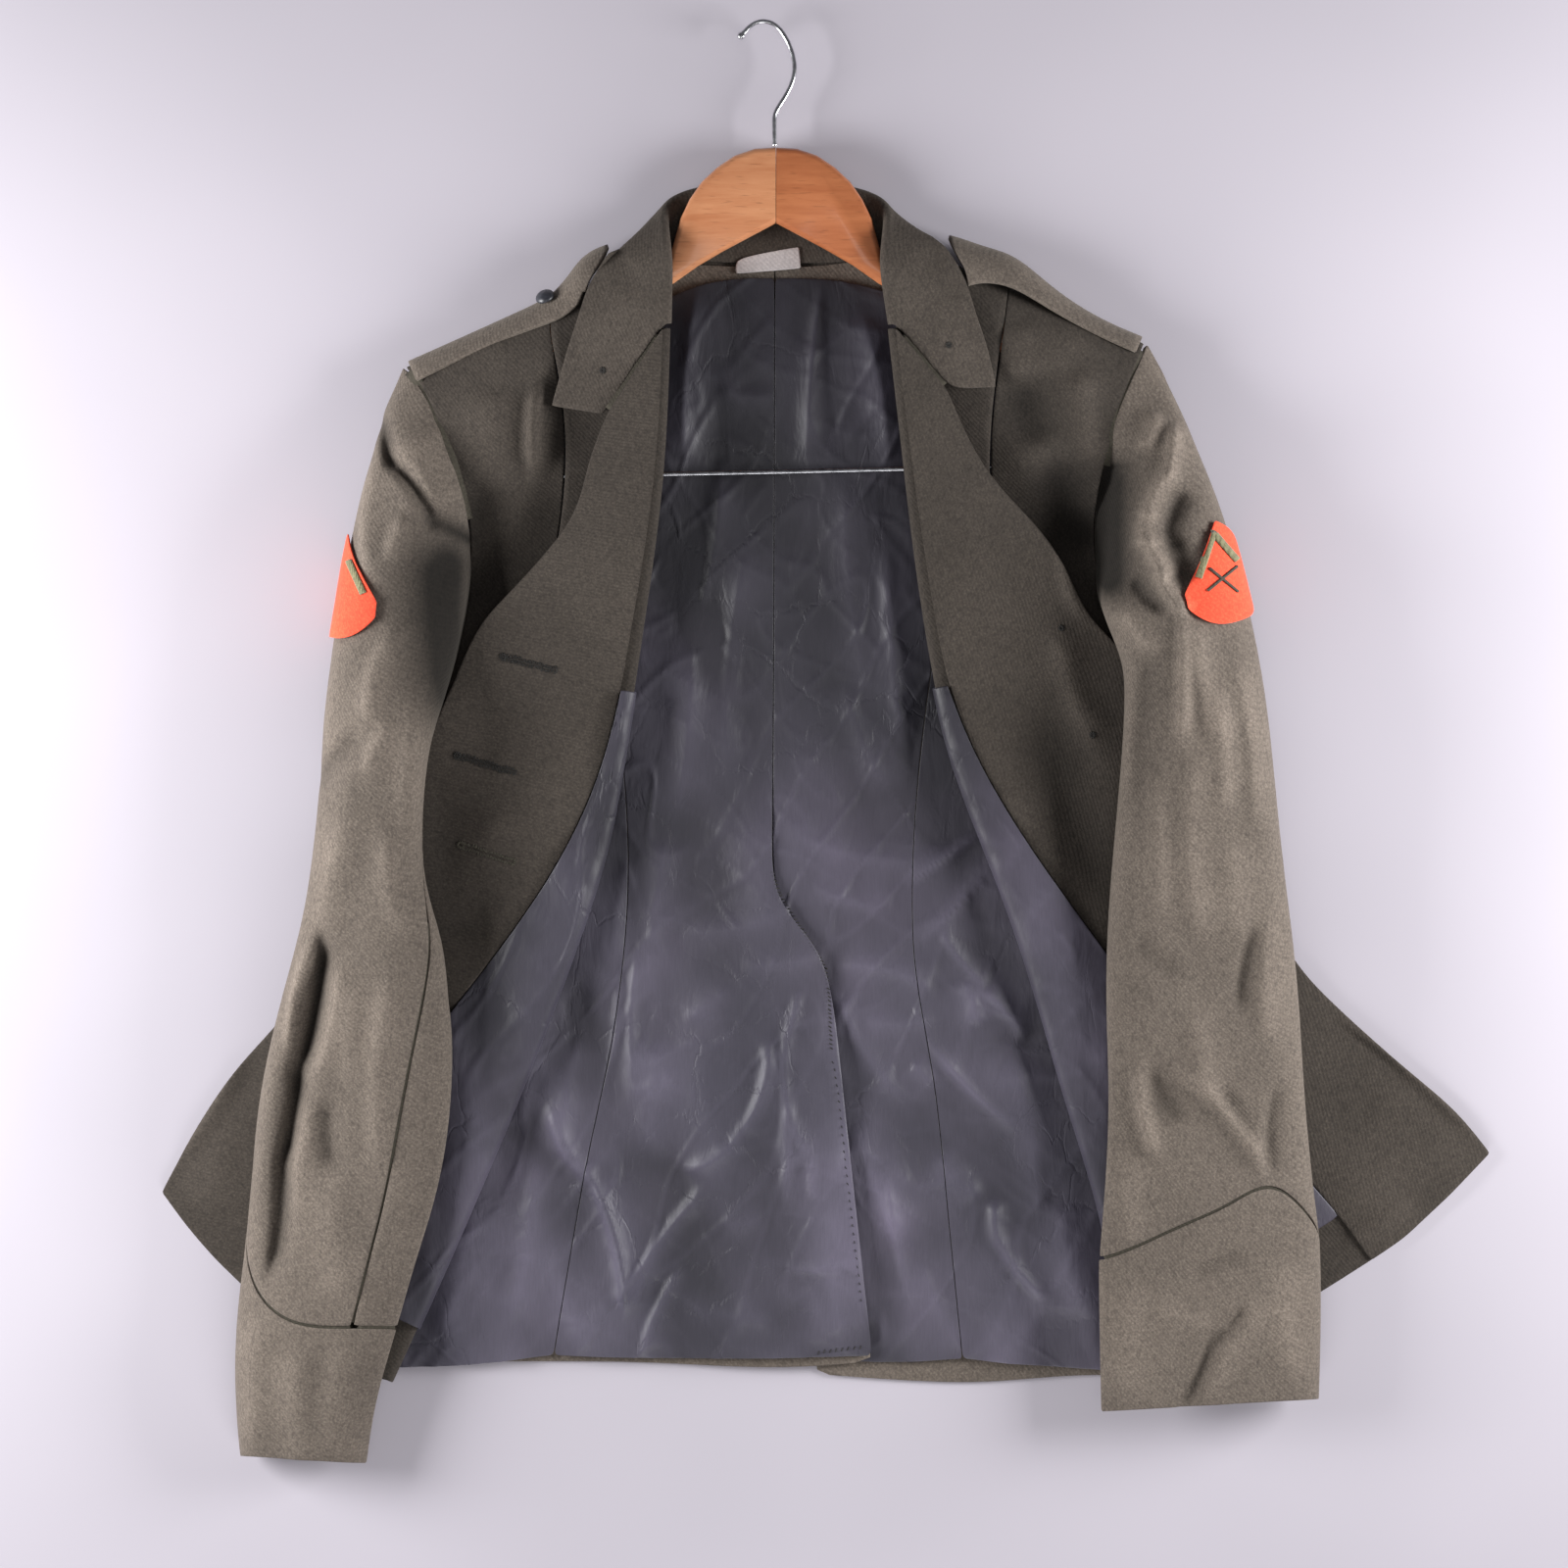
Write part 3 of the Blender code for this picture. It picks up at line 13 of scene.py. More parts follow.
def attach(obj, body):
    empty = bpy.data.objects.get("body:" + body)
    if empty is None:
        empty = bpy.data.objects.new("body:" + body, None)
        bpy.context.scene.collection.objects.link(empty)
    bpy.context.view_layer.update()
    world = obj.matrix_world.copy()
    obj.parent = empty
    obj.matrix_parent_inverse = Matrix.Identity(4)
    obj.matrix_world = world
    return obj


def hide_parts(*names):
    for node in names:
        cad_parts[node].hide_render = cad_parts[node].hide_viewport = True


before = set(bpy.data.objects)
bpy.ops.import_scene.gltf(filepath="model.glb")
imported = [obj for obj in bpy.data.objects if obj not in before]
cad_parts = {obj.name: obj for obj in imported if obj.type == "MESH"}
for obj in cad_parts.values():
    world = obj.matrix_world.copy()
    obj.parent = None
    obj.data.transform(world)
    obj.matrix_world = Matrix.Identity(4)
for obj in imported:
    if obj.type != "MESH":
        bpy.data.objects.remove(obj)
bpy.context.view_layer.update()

MM = 0.001
# The camera stands over the jacket. Places on the cloth are in millimetres east and north of the point
# below it, as they show from there on the floor.
EYE = Vector((-0.023485, -0.02316, 1.6))
PHOTO_SIDE = 0.88
FLOOR_HALF = 5
FLOOR_DROP = 0.0006
# Points nearer to each other than this are joined, in millimetres
JOIN = 0.02
# How sharp creases are, the lift at which satin takes neither painted shade nor painted highlight, and the
# lift over that at which crease ridges take their full painted highlight
SATIN_SHARP = 1.25
WOOL_SHARP = 1.8
SATIN_REST = 2.0
FULL_PAINTED_LIGHT_LIFT = 5
# Wool at this height or lower doesn't sink, and sinks in full from SINK_RANGE above it
LOWEST = 2.0
SINK_RANGE = 18.0
WOOD_EDGE = 2.6
random.seed(7)


# Camera, light and floor.

def set_stage():
    camera = bpy.data.objects.new("camera", bpy.data.cameras.new("camera"))
    camera.location = EYE
    camera.data.sensor_width = 36
    camera.data.lens = 36 * EYE.z / PHOTO_SIDE
    bpy.context.collection.objects.link(camera)
    bpy.context.scene.camera = camera

    world = bpy.data.worlds.new("room")
    world.use_nodes = True
    sky = world.node_tree.nodes["Background"]
    sky.inputs["Color"].default_value = (0.93, 0.93, 1.0, 1)
    sky.inputs["Strength"].default_value = 0.12
    bpy.context.scene.world = world
    for name, place, size, watts in LAMPS:
        lamp = bpy.data.lights.new(name, "AREA")
        lamp.size = size
        lamp.energy = watts
        holder = bpy.data.objects.new(name, lamp)
        holder.location = place
        holder.rotation_euler = (Vector((0, 0, 0)) - Vector(place)).to_track_quat("-Z", "Y").to_euler()
        bpy.context.collection.objects.link(holder)
    bpy.context.scene.view_settings.view_transform = "Standard"

    bm = bmesh.new()
    bmesh.ops.create_grid(bm, x_segments=1, y_segments=1, size=FLOOR_HALF,
                          matrix=Matrix.Translation((0, 0, -FLOOR_DROP)))
    floor = new_object("floor", bm)
    floor.data.materials.append(floor_finish())


LAMPS = (
    ("window_left", (-1.0, 0.0, 0.42), 0.45, 19),
    ("window_right", (1.0, 0.08, 0.42), 0.45, 18),
    ("window_near", (0.05, -1.1, 0.50), 0.6, 6),
    ("ceiling", (0.0, -0.3, 2.3), 1.0, 5),
)


# Meshes.

def new_object(name, bm):
    mesh = bpy.data.meshes.new(name)
    bm.to_mesh(mesh)
    bm.free()
    mesh.shade_smooth()
    piece = bpy.data.objects.new(name, mesh)
    bpy.context.collection.objects.link(piece)
    return piece


def finish_piece(piece, slot, material, *nodes):
    """The piece rides with the jacket, takes its finish, and stands for the solids it is made on."""
    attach(piece, "root")
    if nodes:
        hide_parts(*nodes)
    if material:
        piece.data.materials.append(material)
    return piece


def solid_copy(node):
    """The node's solid as quads, its points joined."""
    bm = bmesh.new()
    bm.from_mesh(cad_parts[node].data)
    bmesh.ops.remove_doubles(bm, verts=bm.verts, dist=JOIN * MM)
    bmesh.ops.join_triangles(bm, faces=bm.faces, angle_face_threshold=math.radians(40),
                             angle_shape_threshold=math.radians(60))
    return bm


def smoothed(name, bm, levels, crisp=62):
    """The mesh subdivided, with its edges kept crisp where faces meet at more than crisp degrees."""
    layer = bm.edges.layers.float.new("crease_edge")
    for edge in bm.edges:
        if len(edge.link_faces) == 2 and edge.calc_face_angle() > math.radians(crisp):
            edge[layer] = 0.9
    rough = new_object(name, bm)
    rounding = rough.modifiers.new("rounding", "SUBSURF")
    rounding.levels = levels
    rounding.render_levels = levels
    fine = bpy.data.meshes.new_from_object(rough.evaluated_get(bpy.context.evaluated_depsgraph_get()))
    fine.name = name
    rough.modifiers.clear()
    rough.data = fine
    fine.shade_smooth()
    for attribute in ("crease_edge", "crease_vert"):
        if attribute in fine.attributes:
            fine.attributes.remove(fine.attributes[attribute])
    fine.set_sharp_from_angle(angle=math.radians(50))
    return rough


def points_of(mesh):
    flat = np.empty(len(mesh.vertices) * 3)
    mesh.vertices.foreach_get("co", flat)
    return flat.reshape(-1, 3)


def seen(points):
    """Where points show from the camera, on the floor."""
    nearer = EYE.z / (EYE.z - points[:, 2:3])
    return (points[:, :2] - np.array(EYE.xy)) * nearer / MM


# Creases. Each runs from one place to another; side is its sideways bow at the middle, and steep makes the
# side to the right of its way narrower. Widths and heights are in millimetres.

Crease = namedtuple("Crease", "x0 y0 x1 y1 width height side steep", defaults=(0, 1))

LINING_CREASES = (
    Crease(-48.4, 275, -56.1, 181.5, 13, 4.5, 3, 0.6),
    Crease(-35.8, 176, -50.6, 88, 12, 3.9, -4, 0.6),
    Crease(20.9, 279.4, 13.2, 181.5, 9, 3.6, 2, 0.5),
    Crease(44, 261.2, 58.9, 176, 10, 4.2, -3),
    Crease(-20.9, 132, -31.9, 0, 17, 4.8, 5, 0.7),
    Crease(-51.7, 88, -60.5, -16.5, 12, 3.4, -3),
    Crease(34.1, 165, 46.2, 55, 12, 3.1, 3),
    Crease(-35.8, 218.9, -5.5, 215.6, 6, 2.0),
    Crease(57.8, 132, 67.1, 22, 12, 3.9, 2, 0.6),
    Crease(-66, -33, -74.8, -115.5, 11, 3.1, 3),
    Crease(34.1, 55, 57.8, 0, 9, 2.5, 3),
    Crease(0, -24.8, 74.2, -44, 8, 2.2, 5),
    Crease(16.5, -57.8, 57.8, -68.8, 9, 2.4, 3, 0.6),
    Crease(31.9, -101.8, 82.5, -115.5, 10, 3.1, -4, 0.6),
    Crease(27.5, -115.5, 66, -176, 9, 3.1, 4, 0.6),
    Crease(-55, -82.5, 0, -71.5, 9, 2.5, 4),
    Crease(-22, -101.8, 20.9, -96.3, 7, 2.1, 2),
    Crease(-30.3, -115.5, -55, -132, 6, 1.8),
    Crease(9.4, -115.5, -0.6, -162.2, 3.2, 2.8, 2, 0.6),
    Crease(-0.6, -162.2, 1.1, -233.8, 3.4, 3.1, -1, 0.5),
    Crease(2.2, -181.5, 14.9, -209, 3.5, 2.4, 2, 0.5),
    Crease(14.9, -206.3, 16, -233.8, 3.5, 2.4, 0, 0.5),
    Crease(4.4, -272.8, 41.8, -269.5, 3, 2.8, 1, 0.5),
    Crease(-8.8, -145.8, -26.4, -198, 6, 4.2, -5, 0.5),
    Crease(-24.2, -195.3, -55, -215.6, 6, 3.4, -4, 0.6),
    Crease(-46.2, -228.3, -90.2, -287.1, 6, 4.2, 2, 0.5),
    Crease(-132, -181.5, -108.9, -222.2, 6, 4.8, 3, 0.5),
    Crease(-110, -217.8, -89.1, -294.8, 6, 6.4, -5, 0.4),
    Crease(-58.9, -272.2, -79.8, -319, 5, 3.6, 2, 0.5),
    Crease(-82.5, -96.3, -85.2, -165, 6, 3.2, 2, 0.5),
    Crease(-92.4, -110, -95.7, -154, 4, 2.0, 0, 0.5),
    Crease(88, -82.5, 111.1, -111.1, 5, 3.6, 2, 0.5),
    Crease(101.8, -110, 110, -134.8, 7, 3.4),
    Crease(110, -115.5, 134.8, -143, 8, 3.6, -3, 0.5),
    Crease(82.5, -145.8, 129.2, -192.5, 5, 3.6, 3, 0.5),
    Crease(71.5, -156.8, 83.6, -167.8, 6, 2.2),
    Crease(118.3, -233.8, 121, -260.7, 6, 4.2, 2, 0.5),
    Crease(120.5, -258.5, 144.7, -288.2, 4.5, 4.2, 1, 0.5),
    Crease(41.2, -192.5, 68.8, -253, 13, 3.4, 5),
    Crease(57.8, -220, 71.5, -291.5, 5, 2.2, 2, 0.6),
    Crease(44, -132, 85.2, -132, 8, 2.5, 3),
    Crease(71.5, -55, 110, -27.5, 5, 3.4, 0, 0.5),
    Crease(77, -88, 115.5, -44, 5, 2.5, 2, 0.5),
    Crease(86.9, -209, 110, -231, 10, 2.8, 3),
    Crease(129.2, -154, 143, -242, 12, 3.6, -3),
    Crease(154, -236.5, 171.6, -297, 12, 3.4, 3),
    Crease(-132, -115.5, -145.8, -187, 9, 3.4, 3),
    Crease(-140.2, -209, -154, -302.5, 12, 3.9, -4, 0.6),
    Crease(-170.5, -236.5, -189.8, -313.5, 9, 3.1, 3),
    Crease(-115.5, -143, -124.3, -209, 8, 2.8, 2),
    Crease(-88, -170.5, -60.5, -165, 6, 2.0, 2),
    Crease(-71.5, -143, -72.6, -209, 15, 3.1, 2),
    Crease(-132, -253, -110, -316.8, 10, 2.5, 3),
    Crease(-37.4, 209, -30.8, -16.5, 24, -3.4, 4),
    Crease(-55, 143, -46.2, 55, 16, -2.4, 2),
    Crease(92.4, 60.5, 89.1, -38.5, 20, -3.6, 3),
    Crease(25.3, 275, 30.8, 187, 14, -2.4, 3),
    Crease(137.5, -121, 151.2, -253, 20, -3.0, 3),
    Crease(-115.5, -110, -118.3, -176, 14, -2.4, 2),
    Crease(-55, -291.5, -5.5, -299.8, 8, 2.0, 3),
    Crease(-33, -247.5, -11, -242, 7, 2.0, 2),
    Crease(27.5, -236.5, 31.9, -313.5, 10, 2.1, 2),
    Crease(77, -269.5, 101.8, -319, 9, 2.4, 2),
    Crease(-88, -44, -94.6, -99, 7, 2.2, 2),
)

FRONT_CREASES = (
    Crease(-192.5, 55, -181.5, -11, 22, 2.2, 4),
    Crease(-162.2, -16.5, -187, -77, 18, 1.8, 4),
    Crease(-132, 110, -93.5, 132, 20, 1.2, 4),
    Crease(-176, -88, -154, -33, 14, -1.4, 2),
    Crease(155.7, 132, 167.8, 94.6, 7, 2.4, 3, 0.6),
    Crease(159.5, 66, 187, 11, 20, -2.2, 4),
    Crease(115.5, 132, 143, 55, 24, 1.6, 5),
    Crease(137.5, 0, 165, -66, 18, 1.8, 4),
    Crease(159.5, 52.3, 180.4, 33, 10, 1.6, 3),
    Crease(341, -165, 324.5, -242, 22, 1.8, 4),
    Crease(302.5, -154, 352, -209, 22, -1.2, 4),
    Crease(-302.5, -176, -321.8, -242, 18, 1.6, 4),
    Crease(-162.2, 258.5, -176, 181.5, 20, 2.2, 5),
    Crease(-132, 247.5, -136.4, 176, 14, 2.0, 3, 0.6),
    Crease(-154, 176, -165, 110, 18, 1.6, 4),
    Crease(165, 258.5, 148.5, 198, 16, 2.0, 3),
    Crease(143, 209, 137.5, 159.5, 14, 1.4, 3),
    Crease(152.9, 88, 181.5, 8.2, 12, 3.6, 3, 0.7),
    Crease(144.1, 42.9, 180.4, -57.8, 22, -5.0, 3, 0.8),
    Crease(312.4, -132, 387.8, -198, 7, 2.4, -3, 0.5),
    Crease(352, -236.5, 313.5, -261.2, 8, 1.8, 2, 0.6),
    Crease(-194.7, 22, -185.9, -101.8, 20, -3.2, 0),
    Crease(-302.5, -148.5, -338.2, -209, 6, 1.8, -2, 0.5),
)

# The fronts' outer side, which sinks between the turned edge and the sleeve
SIDE_CREASES = FRONT_CREASES + (
    Crease(-138.1, 222.8, -140.2, 173.2, 6, 6, 2, 0.55),
    Crease(-116.6, 231, -114.4, 181.5, 14, -5, 3),
    Crease(-118.3, 159.5, -140.2, 110, 14, -4, 2),
    Crease(-173.8, 165, -165, 104.5, 15, -5, 2),
    Crease(-162.2, 220, -165, 170.5, 14, 3.5, 3),
    Crease(135.3, 231, 144.1, 192.5, 14, -6, 2),
    Crease(151.2, 181.5, 169.4, 132, 18, -6, 2),
    Crease(165, 154, 174.9, 99, 18, -4, 2),
    Crease(165, 231, 174.9, 181.5, 11, 5, 3, 0.6),
    Crease(132, 258.5, 136.4, 220, 10, 3, 2),
)

# The left lap of the vent stands up a little along its edge
LAP_CREASES = LINING_CREASES + (Crease(46.2, -314.6, 25.3, -115.5, 11, 2.8, 1, 0.28),)

# Lines down the middle of the lining strips that show beside the folds of the fronts
STRIPS = (
    ((-88, 33), (-101.8, -16.5), (-115.5, -55), (-130.9, -90.8), (-148.5, -129.2), (-165, -170.5),
     (-181.5, -214.5), (-198, -269.5), (-213.4, -313.5)),
    ((85.2, 46.8), (100.1, 2.8), (119.9, -38.5), (141.9, -85.2), (159.5, -132), (171.6, -176)),
)


def leaning(way, angle):
    """The way turned to the left by an angle."""
    return Vector((way.x * math.cos(angle) - way.y * math.sin(angle),
                   way.x * math.sin(angle) + way.y * math.cos(angle)))


def strip_creases():
    """Short uneven creases across the lining strips, where the seam holds them in."""
    creases = []
    for line in STRIPS:
        for (x0, y0), (x1, y1) in zip(line, line[1:]):
            run = Vector((x1 - x0, y1 - y0))
            way = run.normalized()
            for k in range(2):
                place = Vector((x0, y0)) + run * (k + random.random()) / 2
                out = leaning(way, math.radians(random.uniform(50, 85)))
                half = out * random.uniform(7, 13)
                creases.append(Crease(*(place - half), *(place + half), random.uniform(2.5, 6),
                                      random.uniform(0.3, 1.1), random.uniform(-2, 2), 0.5))
    return tuple(creases)


COLLAR_CREASES = (
    Crease(-88, 291.5, -60.5, 302.5, 10, 1.6, 3),
    Crease(-79.8, 275, -110, 247.5, 8, 1.2, 3),
    Crease(-60.5, 275, -82.5, 236.5, 9, 1.0, 2),
    Crease(55, 297, 88, 275, 9, 1.4, 3),
    Crease(77, 308, 71.5, 258.5, 8, 1.1, 3),
    Crease(96.3, 275, 101.8, 236.5, 8, 1.2, 2),
)

SLEEVE_CREASES = (
    Crease(-226.6, 206.3, -220.6, 177.1, 5, -6.5, 0, 0.6),
    Crease(-221.7, 181.5, -198, 145.2, 5, -7, -3, 0.6),
    Crease(-200.2, 147.4, -172.7, 134.2, 5, -6, -2, 0.6),
    Crease(-206.3, 198, -193.6, 154, 16, 4, 3),
    Crease(-233.2, 181.5, -233.2, 115.5, 7, 3.5, 3, 0.6),
    Crease(-213.4, 149.6, -222.8, 128.7, 6, 3.5, 0, 0.6),
    Crease(-190.3, 143, -181.5, 28.6, 22, -12, 5),
    Crease(-217.3, 90.2, -234.3, 34.1, 10, 3.6, 4, 0.6),
    Crease(-238.2, 27.5, -262.9, -2.2, 6, -3.6, 2, 0.7),
    Crease(-220.6, 34.1, -234.3, 5.5, 8, 3.2, 2, 0.6),
    Crease(-206.8, 55, -206.8, -33, 12, 2.6, 4, 0.7),
    Crease(-246.4, -16.5, -258.5, -88, 9, 3.0, 3),
    Crease(-222.8, -27.5, -209, -88, 11, 3.0, 4, 0.6),
    Crease(-253, 99, -258.5, 22, 9, 2.6, 3),
    Crease(-259.6, -85.2, -273.9, -165, 6.5, -9, -3, 0.45),
    Crease(-273.9, -160.6, -281.6, -211.8, 6, -8, -2, 0.5),
    Crease(-281.6, -206.3, -288.2, -275, 6.5, -6, -2, 0.55),
    Crease(-265.1, -88, -278.3, -148.5, 6, 4.5, 3, 0.6),
    Crease(-249.7, -101.8, -262.9, -165, 10, 4.5, -3, 0.7),
    Crease(-256.9, -178.8, -254.1, -217.3, 8, -4.2, 2, 0.7),
    Crease(-268.4, -176, -273.4, -242, 8, 3.5, 2, 0.6),
    Crease(-221.1, -110, -227.7, -214.5, 11, 3.6, 4, 0.6),
    Crease(-238.7, -115.5, -242, -170.5, 10, 3.0, 3, 0.7),
    Crease(-199.1, -105.6, -201.9, -129.2, 1.8, -2.2, 0, 0.6),
    Crease(-253, -220, -249.7, -288.8, 11, 2.2, 3),
    Crease(-275, -319, -265.1, -385, 12, 3.4, 3),
    Crease(-293.7, -299.8, -298.1, -374, 9, 2.8, 2),
    Crease(-246.4, -313.5, -250.3, -379.5, 12, 2.6, 3),
    Crease(-260.7, -316.2, -262.9, -385, 9, -2.4, 2),
    Crease(206.8, 210.1, 199.7, 188.1, 6, 4.5, -2, 0.5),
    Crease(218.9, 202.4, 215.1, 171.6, 6.5, 6, 0, 0.5),
    Crease(216.2, 176, 201.3, 150.2, 7, 6.5, 2, 0.5),
    Crease(201.9, 154, 200.2, 133.1, 7, 7, 0, 0.6),
    Crease(199.7, 137.5, 211.2, 114.4, 7, 7, -2, 0.5),
    Crease(209.6, 118.8, 223.3, 95.7, 6.5, 6.5, 2, 0.5),
    Crease(222.2, 100.1, 220.6, 22, 6, 5, -2, 0.5),
    Crease(223.9, 165, 216.2, 134.2, 6.5, -5.5, 2),
    Crease(216.2, 137.5, 224.4, 112.2, 6.5, -5, -2),
    Crease(183.7, 187, 184.8, 101.2, 16, -12, 2),
    Crease(180.4, 179.3, 201.3, 179.9, 1.6, -1.6),
    Crease(196.9, 115.5, 215.6, 97.9, 6, -5, 2, 0.7),
    Crease(190.3, 97.9, 210.1, 72.6, 7, 4, 2, 0.6),
    Crease(231.6, 92.4, 243.1, 22, 8, 3.6, 3, 0.55),
    Crease(243.1, 55, 245.3, -16.5, 8, 3.0, -2, 0.6),
    Crease(207.9, 77, 201.3, -11, 9, -3.6, 3, 0.7),
    Crease(254.1, 66, 264, -22, 9, 3.2, -3, 0.6),
    Crease(203.5, 11, 209, -77, 9, 3.2, -4, 0.7),
    Crease(228.3, 11, 233.8, -88, 9, 3.4, 4, 0.6),
    Crease(247.5, -33, 251.9, -88, 10, 2.8, -4),
    Crease(196.9, -88, 221.1, -106.7, 6, -2.6, 2),
    Crease(264, -82.5, 255.8, -126.5, 6, -3.2, 2, 0.6),
    Crease(272.8, -71.5, 269.5, -143, 8, 2.8, 3, 0.6),
    Crease(198, -158.4, 209, -210.1, 5.5, 4.5, 3, 0.5),
    Crease(206.8, -159.5, 223.3, -190.3, 7, -3.4, 2),
    Crease(223.3, -163.9, 269.5, -218.9, 6, 4.2, -5, 0.6),
    Crease(245.3, -171.6, 262.9, -198, 5, -2.8, 1, 0.6),
    Crease(276.1, -170.5, 271.7, -217.8, 5, -2.6, 2, 0.6),
    Crease(232.1, -126.5, 239.8, -176, 8, 3.0, 3, 0.6),
    Crease(192.5, -214.5, 196.9, -258.5, 9, 2.6, 3),
    Crease(258.5, -293.7, 238.2, -314.6, 5, -4.0, -2, 0.5),
    Crease(239.3, -312.4, 222.2, -349.8, 5, -4.0, -2, 0.5),
    Crease(266.2, -291.5, 237.6, -346.5, 10, 3.6, 3, 0.7),
    Crease(258.5, -266.2, 228.3, -277.2, 5, -2.6, 1),
    Crease(280.5, -269.5, 284.9, -335.5, 9, 2.8, 3),
    Crease(198, -280.5, 192.5, -346.5, 12, 2.6, 3),
    Crease(209, -291.5, 239.8, -303.6, 7, 2.2, 2),
)


def raised(places, creases, sharp):
    """How far the creases lift each place: sharp is 2 for a soft ridge and 1 for a crisp one."""
    lift = np.zeros(len(places))
    for c in creases:
        start = np.array((c.x0, c.y0))
        run = np.array((c.x1, c.y1)) - start
        length = np.hypot(*run)
        run = run / length
        along = (places - start) @ run / length
        off = (places - start) @ np.array((run[1], -run[0])) - c.side * 4 * along * (1 - along)
        width = np.where(off > 0, c.width * c.steep, c.width)
        ends = np.clip(np.minimum(along, 1 - along) * 3.2 + 0.35, 0, 1)
        lift += c.height * np.exp(-np.abs(off / width) ** sharp) * ends * ends * (3 - 2 * ends)
    return lift


def rumpled(points, long, across, depth, turn=0.0, seed=0.0):
    """Uneven crumples: long and across are their lengths and widths in millimetres, turn leans them."""
    c, s = math.cos(math.radians(turn)) / MM, math.sin(math.radians(turn)) / MM
    lift = np.empty(len(points))
    for k, (x, y, _) in enumerate(points):
        place = Vector(((x * c + y * s) / across, (y * c - x * s) / long, seed))
        lift[k] = noise.noise(place)
    return lift * depth


# Cloth pieces: subdivision levels, the table of creases, and fine rumpling in millimetres.

Cloth = namedtuple("Cloth", "node levels creases rumple finish slot width length area held rests_on")


def make_cloth(row):
    """A thin shell on its solid's form: nearly the same lift moves both faces, so the wall stays."""
    piece = smoothed(f"{row.node}_cloth", solid_copy(row.node), row.levels)
    mesh = piece.data
    points = points_of(mesh)
    places = seen(points)
    lift = raised(places, row.creases, SATIN_SHARP if row.slot == "satin" else WOOL_SHARP)
    if row.slot == "satin":
        lift += satin_rumple(points)
        lift = np.maximum(lift, 0)
    elif row.rumple:
        lift += rumpled(points, 70, 38, row.rumple, 12) + rumpled(points, 30, 17, row.rumple * 0.35, -20, 5)
    grounded = np.clip((points[:, 2] / MM - LOWEST) / SINK_RANGE, 0, 1)
    if row.slot != "satin":
        lift = np.where(lift < 0, lift * grounded, lift)
    points[:, 2] += lift * MM
    mesh.vertices.foreach_set("co", points.ravel())
    # The lift is stored on the mesh for the finishes: painted shade in crease troughs and a painted highlight
    # on ridges
    rest = SATIN_REST if row.slot == "satin" else 0.0
    painted_crease_light = mesh.attributes.new("painted_crease_light", "FLOAT", "POINT")
    painted_crease_light.data.foreach_set("value", np.clip((lift - rest) / FULL_PAINTED_LIGHT_LIFT, -2, 1))
    mesh.update()
    finish_piece(piece, row.slot, row.finish, row.node)
    return piece


def satin_rumple(points):
    """The lining's fine crumples, longer down the back than across it."""
    broad = rumpled(points, 120, 40, 4.0, 14, 1) + 1.8
    folds = np.maximum(0, 1 - np.abs(rumpled(points, 90, 30, 11, -32, 9))) * 0.8
    cross = np.maximum(0, 1 - np.abs(rumpled(points, 60, 22, 13, 48, 3))) * 0.5
    fine = rumpled(points, 30, 13, 0.45, 25, 4) + rumpled(points, 12, 6, 0.13, -40, 6)
    return broad + folds + cross + fine


# Finishes.

def fill(tree, node, inputs):
    """Gives a node its inputs, which are values or other nodes' outputs."""
    for key, value in inputs.items():
        if isinstance(value, bpy.types.NodeSocket):
            tree.links.new(value, node.inputs[key])
        else:
            node.inputs[key].default_value = value


def add(tree, kind, inputs=None, **settings):
    """One shader node with its settings and inputs."""
    node = tree.nodes.new("ShaderNode" + kind)
    for key, value in settings.items():
        setattr(node, key, value)
    fill(tree, node, inputs or {})
    return node


def new_material(name, **shader):
    """A material, its tree, its shader and a place on the cloth in metres."""
    material = bpy.data.materials.new(name)
    material.use_nodes = True
    tree = material.node_tree
    principled = tree.nodes["Principled BSDF"]
    for key, value in shader.items():
        principled.inputs[key.replace("_", " ")].default_value = value
    place = add(tree, "TexCoord").outputs["Object"]
    return material, tree, principled, place


def ramp(tree, fac, *stops):
    node = add(tree, "ValToRGB", {"Fac": fac})
    elements = node.color_ramp.elements
    while len(elements) < len(stops):
        elements.new(0.5)
    for element, (position, colour) in zip(elements, stops):
        element.position = position
        element.color = (*colour, 1)
    return node.outputs["Color"]


def new_group(name, inputs, outputs):
    """An empty node group with its sockets, and its input and output nodes."""
    group = bpy.data.node_groups.new(name, "ShaderNodeTree")
    for title, kind in inputs:
        group.interface.new_socket(title, in_out="INPUT", socket_type="NodeSocket" + kind)
    for title, kind in outputs:
        group.interface.new_socket(title, in_out="OUTPUT", socket_type="NodeSocket" + kind)
    return group, group.nodes.new("NodeGroupInput").outputs, group.nodes.new("NodeGroupOutput").inputs


